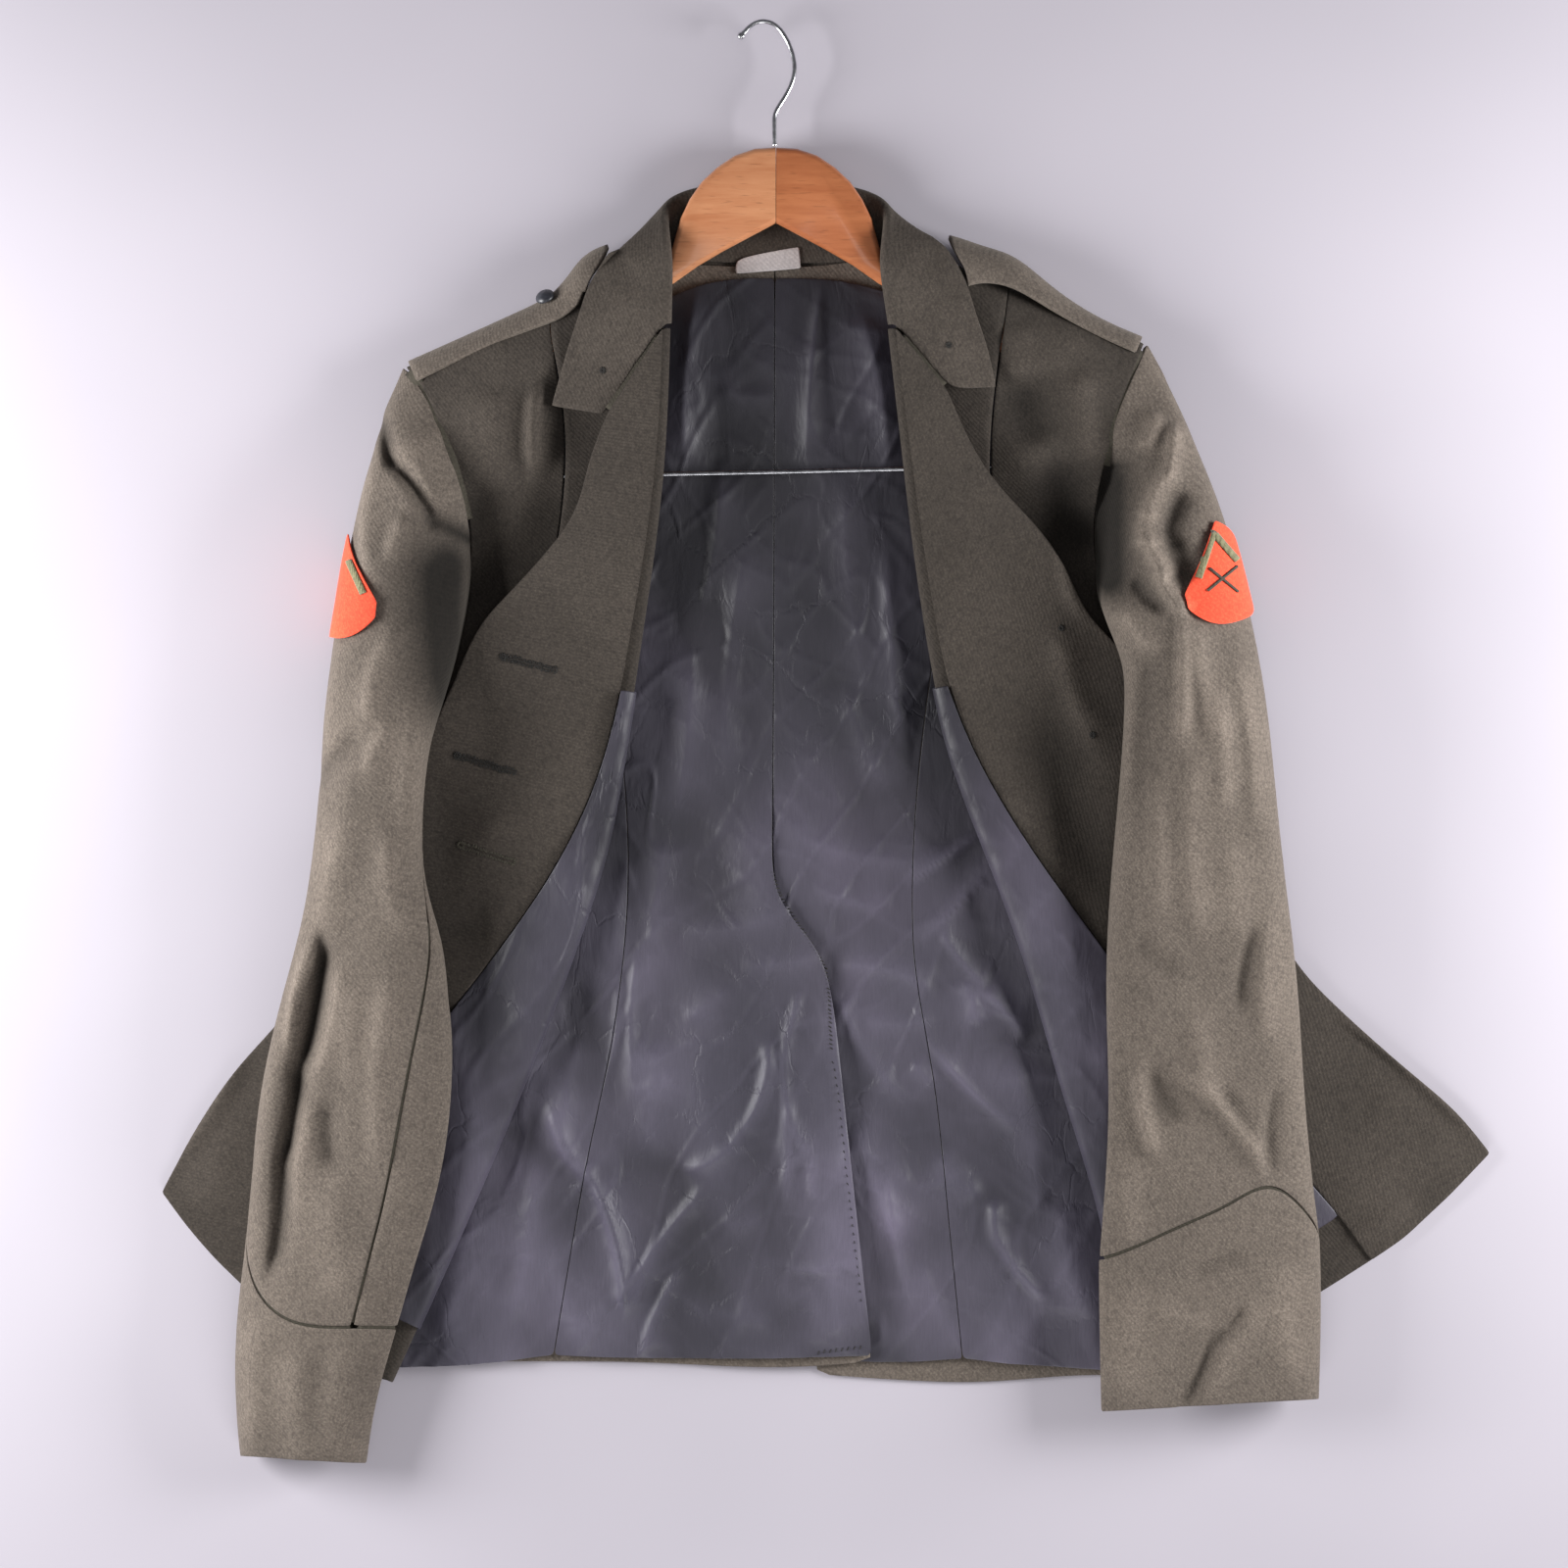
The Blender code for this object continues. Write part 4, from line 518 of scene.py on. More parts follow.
def weave_group():
    """Yarns of three shades in a fine diagonal twill, with soft worn patches, painted shade in crease troughs
    and a painted highlight on crease ridges.
    """
    group, given, out = new_group(
        "twill", (("Place", "Vector"), ("Ground", "Color"), ("Fleck", "Color"), ("Shade", "Color"),
                  ("Rib", "Float"), ("Painted_Crease_Light", "Float")),
        (("Color", "Color"), ("Height", "Float"), ("Roughness", "Float")))
    yarn = add(group, "TexNoise", {"Vector": given["Place"], "Scale": 820, "Detail": 3, "Roughness": 0.7})
    stretch = add(group, "Mapping", {"Vector": given["Place"], "Scale": (1, 0.5, 1),
                                     "Rotation": (0, 0, math.radians(12))})
    slub = add(group, "TexNoise", {"Vector": stretch.outputs["Vector"], "Scale": 560, "Detail": 2})
    patch = add(group, "TexNoise", {"Vector": given["Place"], "Scale": 22, "Detail": 3, "Roughness": 0.6})
    rib = add(group, "TexWave", {"Vector": given["Place"], "Scale": 230, "Distortion": 2.0, "Detail": 2,
                                 "Detail Scale": 3.0}, bands_direction="DIAGONAL")
    light = add(group, "MapRange", {"Value": yarn.outputs["Fac"], "From Min": 0.42, "From Max": 0.72})
    dark = add(group, "MapRange", {"Value": slub.outputs["Fac"], "From Min": 0.48, "From Max": 1.0})
    wear_and_painted_light = add(group, "MapRange", {"Value": patch.outputs["Fac"], "From Min": 0.3, "From Max": 0.7,
                                   "To Min": 0.9, "To Max": 1.1})
    ribbed = add(group, "MapRange", {"Value": rib.outputs["Fac"], "To Min": 0.93, "To Max": 1.05})
    flecked = add(group, "Mix", {"Factor": light.outputs["Result"], 6: given["Ground"], 7: given["Fleck"]},
                  data_type="RGBA")
    shaded = add(group, "Mix", {"Factor": dark.outputs["Result"], 6: flecked.outputs[2], 7: given["Shade"]},
                 data_type="RGBA")
    # Painted shade in crease troughs and a painted highlight on ridges, from the crease lift stored on the
    # mesh
    painted_crease_tone = add(group, "MapRange", {"Value": given["Painted_Crease_Light"], "From Min": -2, "To Min": 0.1,
                                        "To Max": 1.45})
    both = add(group, "Math", {0: wear_and_painted_light.outputs["Result"], 1: ribbed.outputs["Result"]}, operation="MULTIPLY")
    tone = add(group, "Math", {0: both.outputs[0], 1: painted_crease_tone.outputs["Result"]}, operation="MULTIPLY")
    toned = add(group, "VectorMath", {0: shaded.outputs[2], "Scale": tone.outputs[0]}, operation="SCALE")
    group.links.new(toned.outputs["Vector"], out["Color"])
    ridge = add(group, "Math", {0: rib.outputs["Fac"], 1: given["Rib"]}, operation="MULTIPLY")
    height = add(group, "Math", {0: ridge.outputs[0], 1: yarn.outputs["Fac"]}, operation="ADD")
    group.links.new(height.outputs[0], out["Height"])
    rough = add(group, "MapRange", {"Value": yarn.outputs["Fac"], "To Min": 0.78, "To Max": 0.98})
    group.links.new(rough.outputs["Result"], out["Roughness"])
    return group


def use_group(tree, group, inputs):
    node = tree.nodes.new("ShaderNodeGroup")
    node.node_tree = group
    fill(tree, node, inputs)
    return node.outputs


def bump(tree, principled, height, strength, distance):
    node = add(tree, "Bump", {"Height": height, "Strength": strength, "Distance": distance * MM})
    tree.links.new(node.outputs["Normal"], principled.inputs["Normal"])


def woven_finish(name, grain, ground, fleck, shade, rib=0.6, strength=0.35, **shader):
    """Wool, felt or cotton from the twill group, its grain turned by so many degrees."""
    material, tree, principled, place = new_material(name, **shader)
    turned = add(tree, "Mapping", {"Vector": place, "Rotation": (0, 0, math.radians(grain))})
    # The crease lift on the mesh gives painted shade in troughs and a painted highlight on ridges
    wear_and_painted_light = add(tree, "Attribute", attribute_name="painted_crease_light")
    cloth = use_group(tree, twill, {"Place": turned.outputs["Vector"], "Ground": (*ground, 1),
                                    "Fleck": (*fleck, 1), "Shade": (*shade, 1), "Rib": rib,
                                    "Painted_Crease_Light": wear_and_painted_light.outputs["Fac"]})
    tree.links.new(cloth["Color"], principled.inputs["Base Color"])
    tree.links.new(cloth["Roughness"], principled.inputs["Roughness"])
    bump(tree, principled, cloth["Height"], strength, 0.35)
    return material


def wool_finish(name, grain, tone=1.0, sheen=0.12):
    """Olive wool, darker where its tone is lower: a lower tone is painted shade for cloth that lies in
    shadow.
    """
    ground, fleck, shade = (tuple(tone * c for c in colour) for colour in (
        (0.102, 0.083, 0.069), (0.180, 0.150, 0.124), (0.046, 0.038, 0.033)))
    return woven_finish(name, grain, ground, fleck, shade, Sheen_Weight=sheen, Sheen_Roughness=0.5,
                        Sheen_Tint=(0.85, 0.78, 0.68, 1), Specular_IOR_Level=0.22)


def satin_finish():
    """Slate satin: floats of yarn across it, soft crumples, dye that fades unevenly to violet, and painted
    light: shade towards the top and in crease troughs, highlights towards the hem and on ridges.
    """
    material, tree, principled, place = new_material(
        "slate_satin", Roughness=0.52, Specular_IOR_Level=0.42, Sheen_Weight=0.1, Sheen_Roughness=0.35,
        Sheen_Tint=(0.75, 0.75, 1.0, 1))
    fade = add(tree, "TexNoise", {"Vector": place, "Scale": 7, "Detail": 3, "Roughness": 0.55})
    colour = ramp(tree, fade.outputs["Fac"], (0.36, (0.034, 0.031, 0.044)), (0.52, (0.056, 0.050, 0.070)),
                  (0.68, (0.074, 0.064, 0.092)))
    floats = add(tree, "Mapping", {"Vector": place, "Scale": (1, 0.06, 1)})
    yarn = add(tree, "TexNoise", {"Vector": floats.outputs["Vector"], "Scale": 1400, "Detail": 1})
    tone = add(tree, "MapRange", {"Value": yarn.outputs["Fac"], "To Min": 0.86, "To Max": 1.14})
    # Painted light: the lining is darkened towards its top, where the hanger and raised fronts shade it, and
    # brightened towards the hem
    parts = add(tree, "SeparateXYZ", {"Vector": place})
    wear_and_painted_light = add(tree, "MapRange", {"Value": parts.outputs["Y"], "From Min": -0.22, "From Max": 0.16,
                                  "To Min": 1.25, "To Max": 0.42}, interpolation_type="SMOOTHSTEP")
    both = add(tree, "Math", {0: tone.outputs["Result"], 1: wear_and_painted_light.outputs["Result"]}, operation="MULTIPLY")
    # Painted shade in crease troughs and a painted highlight on ridges, from the crease lift stored on the
    # mesh
    ridge = add(tree, "Attribute", attribute_name="painted_crease_light")
    lifted = add(tree, "MapRange", {"Value": ridge.outputs["Fac"], "From Min": -0.4, "From Max": 0.8,
                                    "To Min": 0.48, "To Max": 1.35})
    every = add(tree, "Math", {0: both.outputs[0], 1: lifted.outputs["Result"]}, operation="MULTIPLY")
    toned = add(tree, "VectorMath", {0: colour, "Scale": every.outputs[0]}, operation="SCALE")
    tree.links.new(toned.outputs["Vector"], principled.inputs["Base Color"])
    lean = add(tree, "Mapping", {"Vector": place, "Scale": (1, 0.35, 1), "Rotation": (0, 0, 0.4)})
    crumple = add(tree, "TexNoise", {"Vector": lean.outputs["Vector"], "Scale": 85, "Detail": 4,
                                     "Roughness": 0.55, "Distortion": 0.6})
    bent = add(tree, "Mix", {"Factor": 0.022, 4: place, 5: crumple.outputs["Color"]}, data_type="VECTOR")
    cells = add(tree, "TexVoronoi", {"Vector": bent.outputs[1], "Scale": 21, "Randomness": 1.0},
                feature="DISTANCE_TO_EDGE")
    line = add(tree, "MapRange", {"Value": cells.outputs["Distance"], "From Min": 0.0, "From Max": 0.035})
    where = add(tree, "MapRange", {"Value": fade.outputs["Fac"], "From Min": 0.42, "From Max": 0.6,
                                   "To Min": 0.32, "To Max": 0.0})
    lined = add(tree, "Math", {0: line.outputs["Result"], 1: where.outputs["Result"]}, operation="MULTIPLY")
    height = add(tree, "Math", {0: lined.outputs[0], 1: crumple.outputs["Fac"]}, operation="ADD")
    bump(tree, principled, height.outputs[0], 0.5, 1.3)
    gloss = add(tree, "MapRange", {"Value": crumple.outputs["Fac"], "To Min": 0.46, "To Max": 0.62})
    tree.links.new(gloss.outputs["Result"], principled.inputs["Roughness"])
    return material


def wood_finish(name, slope, pale, deep):
    """Varnished wood with its grain along one arm of the hanger."""
    material, tree, principled, place = new_material(name, Roughness=0.3, Coat_Weight=0.35,
                                                     Coat_Roughness=0.12)
    along = add(tree, "Mapping", {"Vector": place, "Rotation": (0, 0, math.radians(slope)),
                                  "Scale": (0.11, 1, 1)})
    grain = add(tree, "TexNoise", {"Vector": along.outputs["Vector"], "Scale": 260, "Detail": 5,
                                   "Roughness": 0.6, "Distortion": 0.5})
    cloud = add(tree, "TexNoise", {"Vector": along.outputs["Vector"], "Scale": 38, "Detail": 2})
    pores = add(tree, "TexNoise", {"Vector": along.outputs["Vector"], "Scale": 900, "Detail": 1})
    mixed = add(tree, "Math", {0: grain.outputs["Fac"], 1: cloud.outputs["Fac"]}, operation="ADD")
    half = add(tree, "Math", {0: mixed.outputs[0], 1: 0.5}, operation="MULTIPLY")
    colour = ramp(tree, half.outputs[0], (0.34, deep), (0.62, pale))
    dots = add(tree, "MapRange", {"Value": pores.outputs["Fac"], "From Min": 0.62, "From Max": 0.75,
                                  "To Min": 1.0, "To Max": 0.72})
    toned = add(tree, "VectorMath", {0: colour, "Scale": dots.outputs["Result"]}, operation="SCALE")
    tree.links.new(toned.outputs["Vector"], principled.inputs["Base Color"])
    bump(tree, principled, grain.outputs["Fac"], 0.12, 0.3)
    return material


def chrome_finish(name, dark, light):
    material, tree, principled, place = new_material(name, Metallic=1.0)
    scratch = add(tree, "TexNoise", {"Vector": place, "Scale": 300, "Detail": 3})
    colour = ramp(tree, scratch.outputs["Fac"], (0.3, dark), (0.7, light))
    tree.links.new(colour, principled.inputs["Base Color"])
    rough = add(tree, "MapRange", {"Value": scratch.outputs["Fac"], "To Min": 0.12, "To Max": 0.3})
    tree.links.new(rough.outputs["Result"], principled.inputs["Roughness"])
    return material


def button_finish():
    material, tree, principled, place = new_material("black_button", Specular_IOR_Level=0.6)
    rub = add(tree, "TexNoise", {"Vector": place, "Scale": 260, "Detail": 4})
    colour = ramp(tree, rub.outputs["Fac"], (0.35, (0.012, 0.013, 0.018)), (0.7, (0.04, 0.042, 0.052)))
    tree.links.new(colour, principled.inputs["Base Color"])
    rough = add(tree, "MapRange", {"Value": rub.outputs["Fac"], "To Min": 0.3, "To Max": 0.5})
    tree.links.new(rough.outputs["Result"], principled.inputs["Roughness"])
    return material


def floor_finish():
    material, tree, principled, place = new_material("pale_floor", Roughness=0.9, Specular_IOR_Level=0.1)
    cloud = add(tree, "TexNoise", {"Vector": place, "Scale": 3, "Detail": 2})
    colour = ramp(tree, cloud.outputs["Fac"], (0.3, (0.42, 0.395, 0.44)), (0.7, (0.47, 0.44, 0.49)))
    tree.links.new(colour, principled.inputs["Base Color"])
    return material


STRIP_CREASES = FRONT_CREASES + strip_creases()
twill = weave_group()
wool = wool_finish("olive_wool", 4)
# The fronts, collar and turned fronts are the olive wool darkened: painted shade for cloth that lies in
# shadow
wool_front_painted_shade = wool_finish("olive_wool_fronts_painted_shade", 4, 0.34, 0.04)
wool_collar_painted_shade = wool_finish("olive_wool_collar_painted_shade", 20, 0.5, 0.06)
wool_left_turned_painted_shade = wool_finish("olive_wool_turned_left_painted_shade", -34, 0.4, 0.04)
wool_right_turned_painted_shade = wool_finish("olive_wool_turned_right_painted_shade", 30, 0.4, 0.04)
# Wool for the seam strips, darker than the cloth round it: painted shade down in the seams
seam_wool_painted_shade = woven_finish("olive_wool_seam_painted_shade", 0, (0.045, 0.040, 0.030), (0.07, 0.062, 0.048),
                         (0.026, 0.022, 0.018), Specular_IOR_Level=0.2)
satin = satin_finish()
felt = woven_finish("red_felt", 0, (0.86, 0.062, 0.022), (0.95, 0.12, 0.05), (0.72, 0.04, 0.015), rib=0.0,
                    strength=0.25, Sheen_Weight=0.3, Sheen_Roughness=0.4, Sheen_Tint=(1, 0.5, 0.4, 1))
braid = woven_finish("olive_braid", 45, (0.145, 0.135, 0.065), (0.25, 0.235, 0.13), (0.08, 0.075, 0.04),
                     rib=1.2, strength=0.6, Sheen_Weight=0.2)
tape = woven_finish("label_tape", 0, (0.46, 0.42, 0.42), (0.60, 0.56, 0.55), (0.36, 0.33, 0.33), rib=0.0,
                    strength=0.3)
dark_thread = woven_finish("dark_thread", 20, (0.012, 0.011, 0.010), (0.034, 0.030, 0.026),
                           (0.006, 0.006, 0.006), rib=0.5)
olive_thread = woven_finish("olive_thread", 20, (0.045, 0.040, 0.028), (0.085, 0.076, 0.055),
                            (0.025, 0.022, 0.016), rib=0.5)
wood_left = wood_finish("beech_left", 37, (0.56, 0.255, 0.125), (0.42, 0.155, 0.066))
wood_right = wood_finish("beech_right", -37, (0.44, 0.155, 0.062), (0.30, 0.085, 0.030))
chrome = chrome_finish("chromed_hook", (0.52, 0.52, 0.54), (0.78, 0.78, 0.8))
# The trouser bar's chrome is darker than the hook's
darker_chrome = chrome_finish("chromed_bar", (0.16, 0.16, 0.17), (0.36, 0.36, 0.38))
button_black = button_finish()

# Each piece's width and length, estimated from how it lies, in mm, and half its solid's surface in square cm
PIECES = (
    Cloth("back_left", 2, (), 0, wool, "wool", 310, 640, 1413, "laid", ("floor",)),
    Cloth("back_right", 2, (), 0, wool, "wool", 262, 650, 1350, "laid", ("floor",)),
    Cloth("side_front_left", 3, SIDE_CREASES, 0.9, wool_front_painted_shade, "wool", 150, 625, 304, "laid",
          ("back_left_cloth",)),
    Cloth("side_front_right", 3, SIDE_CREASES, 0.9, wool_front_painted_shade, "wool", 150, 640, 346, "laid",
          ("back_right_cloth",)),
    Cloth("lining_back_left", 4, LAP_CREASES, 1, satin, "satin", 180, 610, 689, "laid",
          ("back_left_cloth",)),
    Cloth("lining_back_right", 4, LINING_CREASES, 1, satin, "satin", 122, 612, 519, "laid",
          ("back_right_cloth",)),
    Cloth("lining_side_left", 4, LINING_CREASES, 1, satin, "satin", 150, 580, 520, "laid",
          ("back_left_cloth",)),
    Cloth("lining_side_right", 4, LINING_CREASES, 1, satin, "satin", 165, 595, 605, "laid",
          ("back_right_cloth",)),
    Cloth("front_left", 2, FRONT_CREASES, 0.9, wool_front_painted_shade, "wool", 300, 650, 999, "folded",
          ("back_left_cloth", "side_front_left_cloth")),
    Cloth("front_right", 2, FRONT_CREASES, 0.9, wool_front_painted_shade, "wool", 350, 660, 1033, "folded",
          ("back_right_cloth", "side_front_right_cloth")),
    Cloth("facing_left", 3, FRONT_CREASES, 0.9, wool_left_turned_painted_shade, "wool", 130, 620, 405, "laid",
          ("front_left_cloth",)),
    Cloth("facing_right", 3, FRONT_CREASES, 0.9, wool_right_turned_painted_shade, "wool", 140, 630, 447, "laid",
          ("front_right_cloth",)),
    Cloth("front_lining_left", 3, STRIP_CREASES, 0.9, satin, "satin", 95, 400, 215, "folded",
          ("front_left_cloth",)),
    Cloth("front_lining_right", 3, STRIP_CREASES, 0.9, satin, "satin", 105, 410, 248, "folded",
          ("front_right_cloth",)),
    Cloth("collar", 2, COLLAR_CREASES, 0.5, wool_collar_painted_shade, "wool", 95, 430, 236, "folded",
          ("front_left_cloth", "front_right_cloth")),
    Cloth("sleeve_under_left", 2, (), 0, wool, "wool", 120, 520, 442, "laid", ("front_left_cloth",)),
    Cloth("sleeve_under_right", 2, (), 0, wool, "wool", 118, 490, 414, "laid", ("front_right_cloth",)),
    Cloth("sleeve_top_left", 3, SLEEVE_CREASES, 1.1, wool, "wool", 150, 540, 483, "laid",
          ("sleeve_under_left_cloth",)),
    Cloth("sleeve_top_right", 3, SLEEVE_CREASES, 1.1, wool, "wool", 155, 520, 559, "laid",
          ("sleeve_under_right_cloth",)),
    Cloth("cuff_left", 3, SLEEVE_CREASES, 0.8, wool, "wool", 245, 140, 162, "laid", ("floor",)),
    Cloth("cuff_right", 3, SLEEVE_CREASES, 0.8, wool, "wool", 265, 130, 239, "laid", ("floor",)),
    Cloth("epaulette_left", 2, (), 0.5, wool, "wool", 45, 130, 38, "folded", ("front_left_cloth",)),
    Cloth("epaulette_right", 2, (), 0.5, wool, "wool", 45, 130, 36, "folded", ("front_right_cloth",)),
    Cloth("patch_left", 3, SLEEVE_CREASES, 1.1, felt, "felt", 62, 65, 26.4, "laid",
          ("sleeve_top_left_cloth",)),
    Cloth("patch_right", 3, SLEEVE_CREASES, 1.1, felt, "felt", 62, 65, 25.8, "laid",
          ("sleeve_top_right_cloth",)),
    Cloth("label", 3, (), 0.3, tape, "cotton", 38, 16, 4.1, "laid", ("collar_cloth",)),
)


# Hanger: two halves of wood with rounded edges, a chromed hook and the trouser bar.

def make_wood_half(side, material):
    bm = bmesh.new()
    bm.from_mesh(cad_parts[f"hanger_{side}"].data)
    bmesh.ops.remove_doubles(bm, verts=bm.verts, dist=JOIN * MM)
    bmesh.ops.dissolve_limit(bm, angle_limit=math.radians(2), verts=bm.verts, edges=bm.edges)
    mitre = max(v.co.x for v in bm.verts) if side == "left" else min(v.co.x for v in bm.verts)
    rim = []
    for edge in bm.edges:
        if edge.calc_face_angle(0) > math.radians(50):
            if not all(abs(v.co.x - mitre) < 0.5 * MM for v in edge.verts):
                rim.append(edge)
    bmesh.ops.bevel(bm, geom=rim, offset=WOOD_EDGE * MM, affect="EDGES", segments=4, profile=0.5, material=-1,
                    clamp_overlap=True)
    piece = new_object(f"hanger_{side}_wood", bm)
    piece.data.set_sharp_from_angle(angle=math.radians(40))
    finish_piece(piece, "wood", material, f"hanger_{side}")


def make_hanger():
    make_wood_half("left", wood_left)
    make_wood_half("right", wood_right)
    for node, material in (("hook", chrome), ("trouser_bar", darker_chrome)):
        piece = smoothed(f"{node}_wire", solid_copy(node), 2, 80)
        finish_piece(piece, "steel", material, node)


# Small work on the cloth, placed where it shows from the camera.

class Surface:
    """The cloth that a small thing lies on, found from the camera."""

    def __init__(self, *pieces):
        self.trees = []
        for piece in pieces:
            mesh = piece.data
            self.trees.append(BVHTree.FromPolygons([v.co for v in mesh.vertices],
                                                   [p.vertices for p in mesh.polygons]))

    def at(self, x, y, lift=0.0):
        """The cloth's point that shows at a place, raised by so many millimetres, or None off the cloth."""
        way = (Vector((EYE.x + x * MM, EYE.y + y * MM, 0)) - EYE).normalized()
        best = None
        for tree in self.trees:
            point, normal, _, far = tree.ray_cast(EYE, way)
            if point and (best is None or far < best[2]):
                best = (point, normal, far)
        if best is None:
            return None
        return best[0] + best[1] * lift * MM


def stitch(bm, a, b, radius):
    """One thread from a to b, both already on the cloth."""
    if a is None or b is None or (b - a).length < 0.1 * MM:
        return
    run = b - a
    turn = run.to_track_quat("X", "Z").to_matrix().to_4x4()
    size = Matrix.Diagonal((run.length * 0.58, radius * MM, radius * MM, 1))
    bmesh.ops.create_uvsphere(bm, u_segments=6, v_segments=5, radius=1,
                              matrix=Matrix.Translation((a + b) / 2) @ turn @ size)


def along_line(points, step):
    """Places every so many millimetres along a line of corners, with the line's own way there."""
    for (x0, y0), (x1, y1) in zip(points, points[1:]):
        run = Vector((x1 - x0, y1 - y0))
        count = max(1, round(run.length / step))
        for k in range(count):
            yield Vector((x0, y0)) + run * (k / count), run.normalized()


def running_stitches(name, surface, points, step, length, radius, material, slot, lean=0.0, jitter=0.2):
    """Stitches along a line, leaning across it by so many degrees."""
    bm = bmesh.new()
    for place, way in along_line(points, step):
        turn = math.radians(lean + random.uniform(-12, 12) * jitter * 5)
        run = leaning(way, turn) * length / 2
        off = Vector((random.uniform(-1, 1), random.uniform(-1, 1))) * jitter
        a, b = place + off - run, place + off + run
        stitch(bm, surface.at(*a, radius * 0.7), surface.at(*b, radius * 0.7), radius)
    piece = new_object(name, bm)
    return finish_piece(piece, slot, material)


def make_buttonhole(name, surface, x0, y0, x1, y1, material, slit):
    """A keyhole buttonhole: two rows of purl stitches, a round eye at one end, and, if asked, a slit of dark
    thread that is painted shade in the cut.
    """
    bm = bmesh.new()
    start, end = Vector((x0, y0)), Vector((x1, y1))
    way = (end - start).normalized()
    side = Vector((way.y, -way.x))
    length = (end - start).length
    count = int(length / 0.8)
    for k in range(count + 1):
        sway = math.sin(k * 0.45) * 0.25
        middle = start + way * (length * k / count) + side * sway
        for hand in (-1, 1):
            a = middle + side * hand * 0.45
            b = middle + side * hand * random.uniform(1.6, 2.7) + way * random.uniform(-0.5, 0.5)
            stitch(bm, surface.at(*a, 0.22), surface.at(*b, 0.1), random.uniform(0.24, 0.38))
    for k in range(11):
        turn = k * math.tau / 11
        out = Vector((math.cos(turn), math.sin(turn)))
        a, b = start + out * 0.9, start + out * 2.4
        stitch(bm, surface.at(*a, 0.25), surface.at(*b, 0.15), 0.38)
    for k in range(3):
        a = end + side * (1.0 - k) - way * 0.2
        stitch(bm, surface.at(*a, 0.25), surface.at(*(a + way * 1.5), 0.15), 0.36)
    finish_piece(new_object(name, bm), "cotton", material)
    # The slit's dark thread is painted shade in the cut between the purl rows
    if slit:
        running_stitches(f"{name}_slit", surface, (start, end), 1.6, 2.2, 0.34, dark_thread, "cotton",
                         0, 0.08)


def make_hole(name, surface, x, y, radius, material):
    """A small worked hole: stitches all round, from near its middle outwards."""
    bm = bmesh.new()
    for k in range(10):
        turn = k * math.tau / 10
        out = Vector((math.cos(turn), math.sin(turn)))
        middle = Vector((x, y))
        stitch(bm, surface.at(*(middle + out * radius * 0.15), 0.15),
               surface.at(*(middle + out * radius), 0.25), 0.38)
    return finish_piece(new_object(name, bm), "cotton", material)


def measured(points):
    """A line's corners, and how far along it each of them lies."""
    corners = [Vector(p) for p in points]
    lengths = [0.0]
    for a, b in zip(corners, corners[1:]):
        lengths.append(lengths[-1] + (b - a).length)
    return corners, lengths


def place_on(corners, lengths, far):
    """The place so far along a line, and the line's way there."""
    k = max(i for i in range(len(corners) - 1) if lengths[i] <= far + 1e-9)
    share = (far - lengths[k]) / (lengths[k + 1] - lengths[k])
    return corners[k].lerp(corners[k + 1], share), (corners[k + 1] - corners[k]).normalized()


def thickened(name, bm, lost, thickness):
    """A strip without its points that missed the cloth, made so many millimetres thick."""
    bmesh.ops.delete(bm, geom=lost, context="VERTS")
    bmesh.ops.solidify(bm, geom=bm.faces, thickness=thickness * MM)
    bmesh.ops.recalc_face_normals(bm, faces=bm.faces)
    return new_object(name, bm)


def laid_strip(name, surface, points, width, thick, material, slot):
    """A strip of braid laid along a line on the cloth, as a grid pulled onto it and given its thickness."""
    corners, lengths = measured(points)
    columns, rows = max(8, int(lengths[-1] / 1.2)), 4
    bm = bmesh.new()
    bmesh.ops.create_grid(bm, x_segments=columns, y_segments=rows, size=1)
    lost = []
    for v in bm.verts:
        middle, way = place_on(corners, lengths, (v.co.x + 1) / 2 * lengths[-1])
        place = middle + Vector((-way.y, way.x)) * v.co.y * width / 2
        hollow = 1 - abs(v.co.y) ** 4
        point = surface.at(*place, 0.25 + thick * 0.5 * hollow)
        if point is None:
            lost.append(v)
        else:
            v.co = point
    return finish_piece(thickened(name, bm, lost, -thick * 0.5), slot, material)


def seam_ditch(name, surface, points, material, half=3.4, drop=0.7):
    """The cloth that shows down in a seam: a strip across the gap, a little below both its sides."""
    corners, lengths = measured(points)
    bm = bmesh.new()
    bmesh.ops.create_grid(bm, x_segments=max(4, int(lengths[-1] / 2.5)), y_segments=4, size=1)
    lost = []
    for v in bm.verts:
        place, way = place_on(corners, lengths, (v.co.x + 1) / 2 * lengths[-1])
        side = Vector((-way.y, way.x)) * half
        a, b = surface.at(*(place - side)), surface.at(*(place + side))
        if a is None or b is None:
            lost.append(v)
        else:
            v.co = a.lerp(b, (v.co.y + 1) / 2) - Vector((0, 0, drop * MM))
    return finish_piece(thickened(name, bm, lost, 0.5), "wool", material)


# Run.

cloth = {row.node: make_cloth(row) for row in PIECES}
make_hanger()
button = smoothed("button_left_dome", solid_copy("button_left"), 2, 70)
finish_piece(button, "button", button_black, "button_left")

facing_left = Surface(cloth["facing_left"])
facing_right = Surface(cloth["facing_right"])
collar = Surface(cloth["collar"])
lining = Surface(cloth["lining_back_left"], cloth["lining_back_right"])
patch_right = Surface(cloth["patch_right"])
patch_left = Surface(cloth["patch_left"])

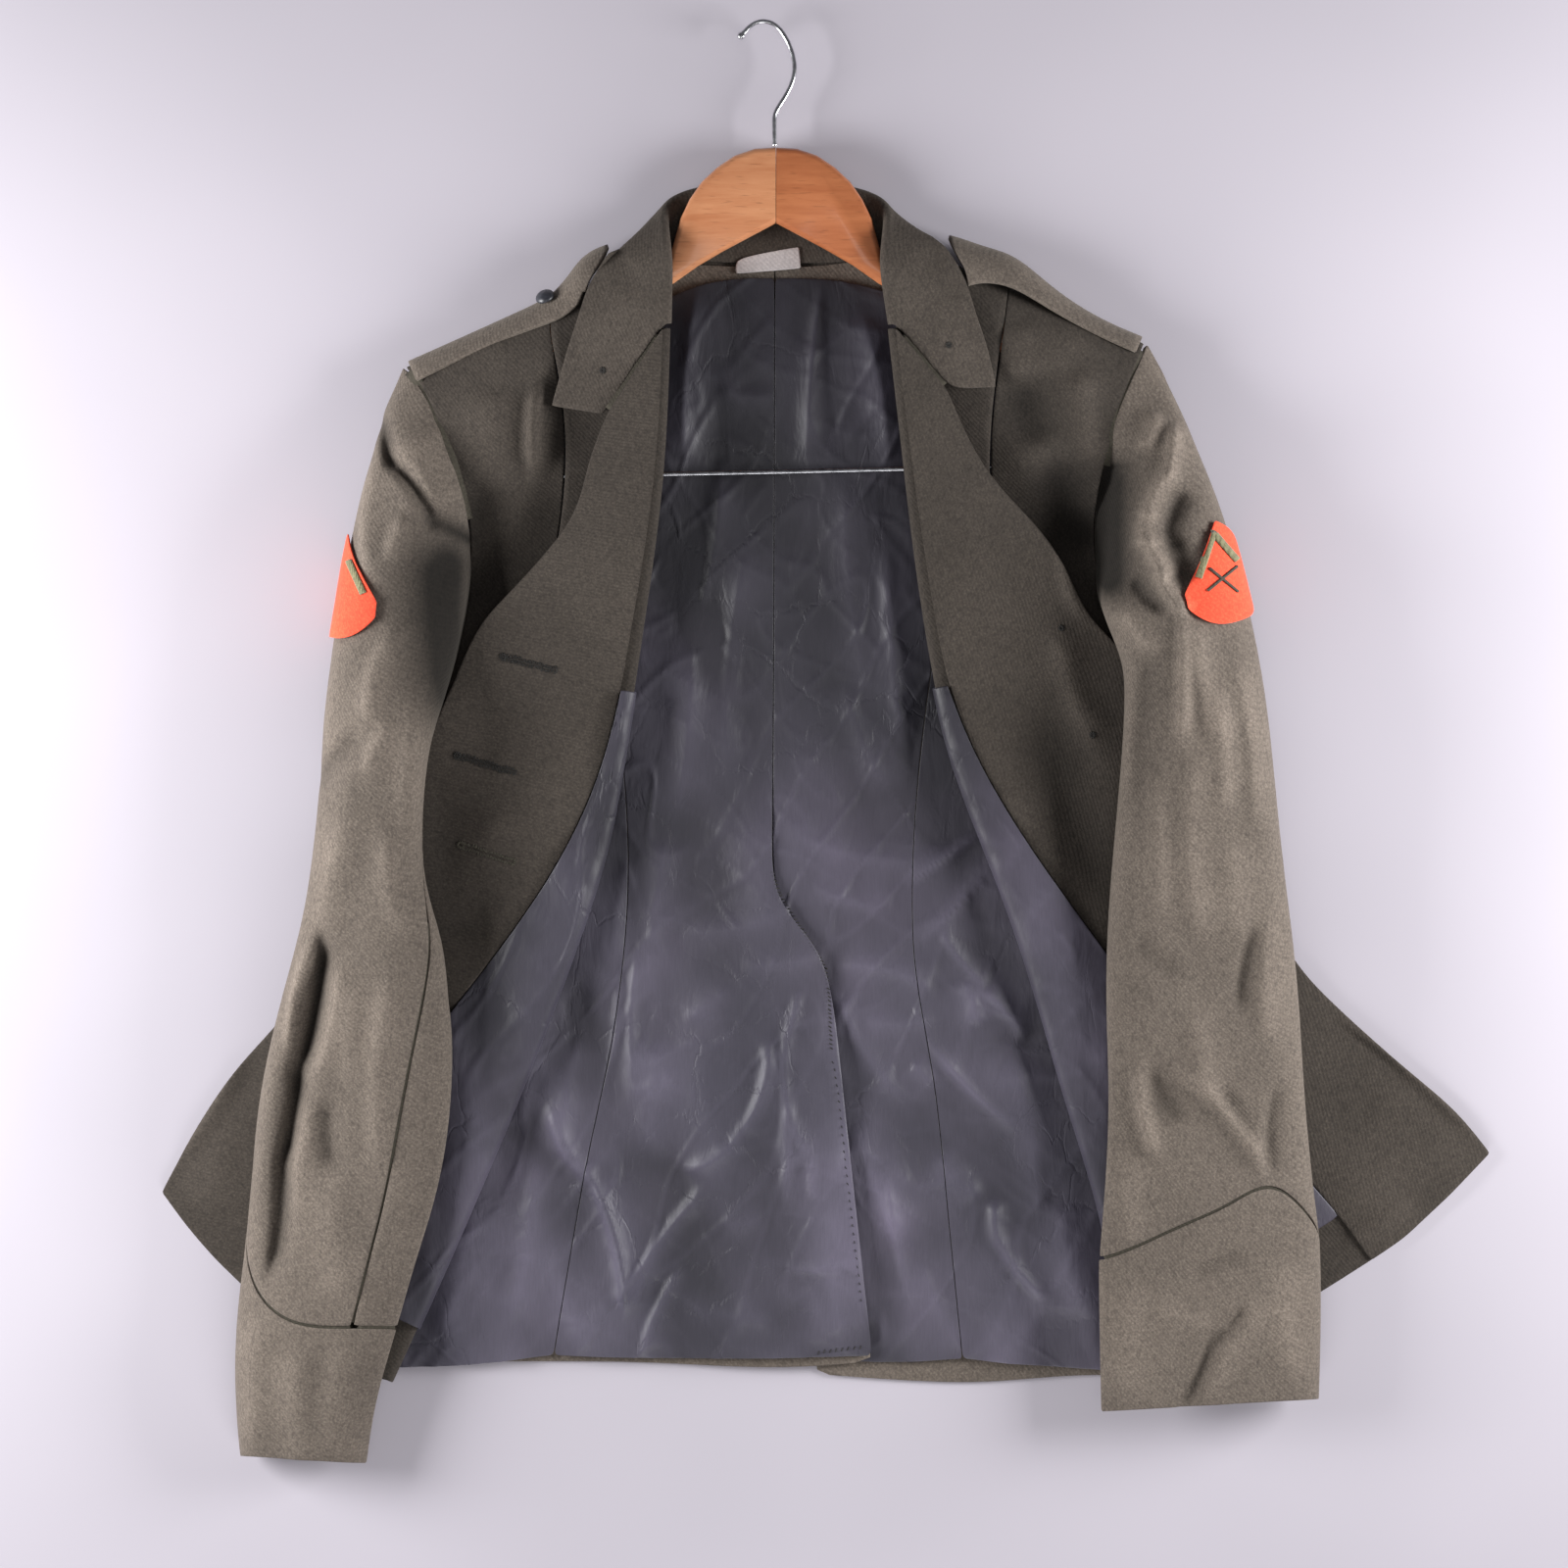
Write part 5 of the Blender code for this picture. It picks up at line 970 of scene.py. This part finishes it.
make_buttonhole("buttonhole_upper", facing_left, -157.9, 71.5, -128.2, 63.8, dark_thread, True)
make_buttonhole("buttonhole_middle", facing_left, -183.7, 16, -151.2, 6.6, dark_thread, True)
make_buttonhole("buttonhole_lower", facing_left, -181.5, -34.1, -151.8, -44, olive_thread, False)
make_hole("shank_hole_upper", facing_right, 155.7, 87.5, 1.9, dark_thread)
make_hole("shank_hole_lower", facing_right, 173.2, 27.5, 2.2, dark_thread)
make_hole("pin_hole_left", collar, -101.8, 232.1, 2.0, dark_thread)
make_hole("pin_hole_right", collar, 92.4, 246.4, 2.0, dark_thread)

VENT_LINE = ((-7.2, -47.9), (-1.7, -62.7), (3.9, -72.1), (15.4, -89.1), (23.7, -103.4), (25.3, -119.4),
             (26.4, -150.7))
running_stitches("vent_stitches", lining, VENT_LINE, 2.4, 2.2, 0.35, dark_thread, "cotton", 55)
VENT_EDGE = ((27.5, -156.2), (30.3, -173.8), (35.2, -220), (40.2, -261.8), (44, -294.2))
running_stitches("vent_edge_stitches", lining, VENT_EDGE, 4.5, 1.6, 0.28, dark_thread, "cotton", 20)
running_stitches("hem_tacks", lining, ((19.2, -319), (46.2, -315.7)), 3.4, 2.4, 0.32, dark_thread,
                 "cotton", 60)

BADGES = (
    ("chevron_right", patch_right, ((232.7, 115.5), (240.9, 140.8), (254.1, 125.4)), 3.6, 0.9, braid),
    ("crossed_bar_right_1", patch_right, ((237.6, 108.4), (254.1, 122.1)), 1.1, 0.8, olive_thread),
    ("crossed_bar_right_2", patch_right, ((238.7, 121), (254.7, 107.8)), 1.1, 0.8, olive_thread),
    ("chevron_left", patch_left, ((-244.2, 125.4), (-236, 106.7)), 3.6, 0.9, braid),
)
for name, patch, line, width, thick, material in BADGES:
    laid_strip(name, patch, line, width, thick, material, "cotton")

SEAMS = (
    ("armhole_left", ("side_front_left", "sleeve_top_left", "epaulette_left"),
     ((-212.9, 233.2), (-205.2, 224.4), (-199.1, 211.8), (-192.5, 198), (-185.9, 181.5), (-181.5, 165),
      (-177.7, 148.5))),
    ("armhole_right", ("side_front_right", "sleeve_top_right", "epaulette_right"),
     ((202.4, 245.3), (199.7, 238.2), (193.6, 228.3), (187.6, 213.4), (183.2, 195.3), (180.4, 178.8))),
    ("sleeve_left", ("sleeve_top_left", "sleeve_under_left"),
     ((-198.6, -75.4), (-200.2, -110), (-209, -154), (-220, -209), (-231, -261.2), (-241.5, -302.5))),
    ("cuff_left", ("sleeve_top_left", "sleeve_under_left", "cuff_left"),
     ((-301.4, -267.3), (-290.4, -291.5), (-277.2, -301.4), (-262.4, -304.2), (-218.4, -304.7))),
    ("cuff_right", ("sleeve_top_right", "sleeve_under_right", "cuff_right"),
     ((177.1, -266.2), (213.4, -251.9), (247.5, -234.9), (269, -226.1), (281.6, -232.1), (297.6, -245.9))),
    ("gorge_left", ("collar", "facing_left"), ((-99, 210.7), (-88, 226.6), (-70.4, 255.2))),
    ("gorge_right", ("collar", "facing_right"), ((91.3, 221.7), (77, 240.9), (64.9, 254.1))),
)
# The seam strips take the darker wool: painted shade down in the seams
for name, nodes, line in SEAMS:
    seam_ditch(f"{name}_seam", Surface(*(cloth[n] for n in nodes)), line, seam_wool_painted_shade)

set_stage()
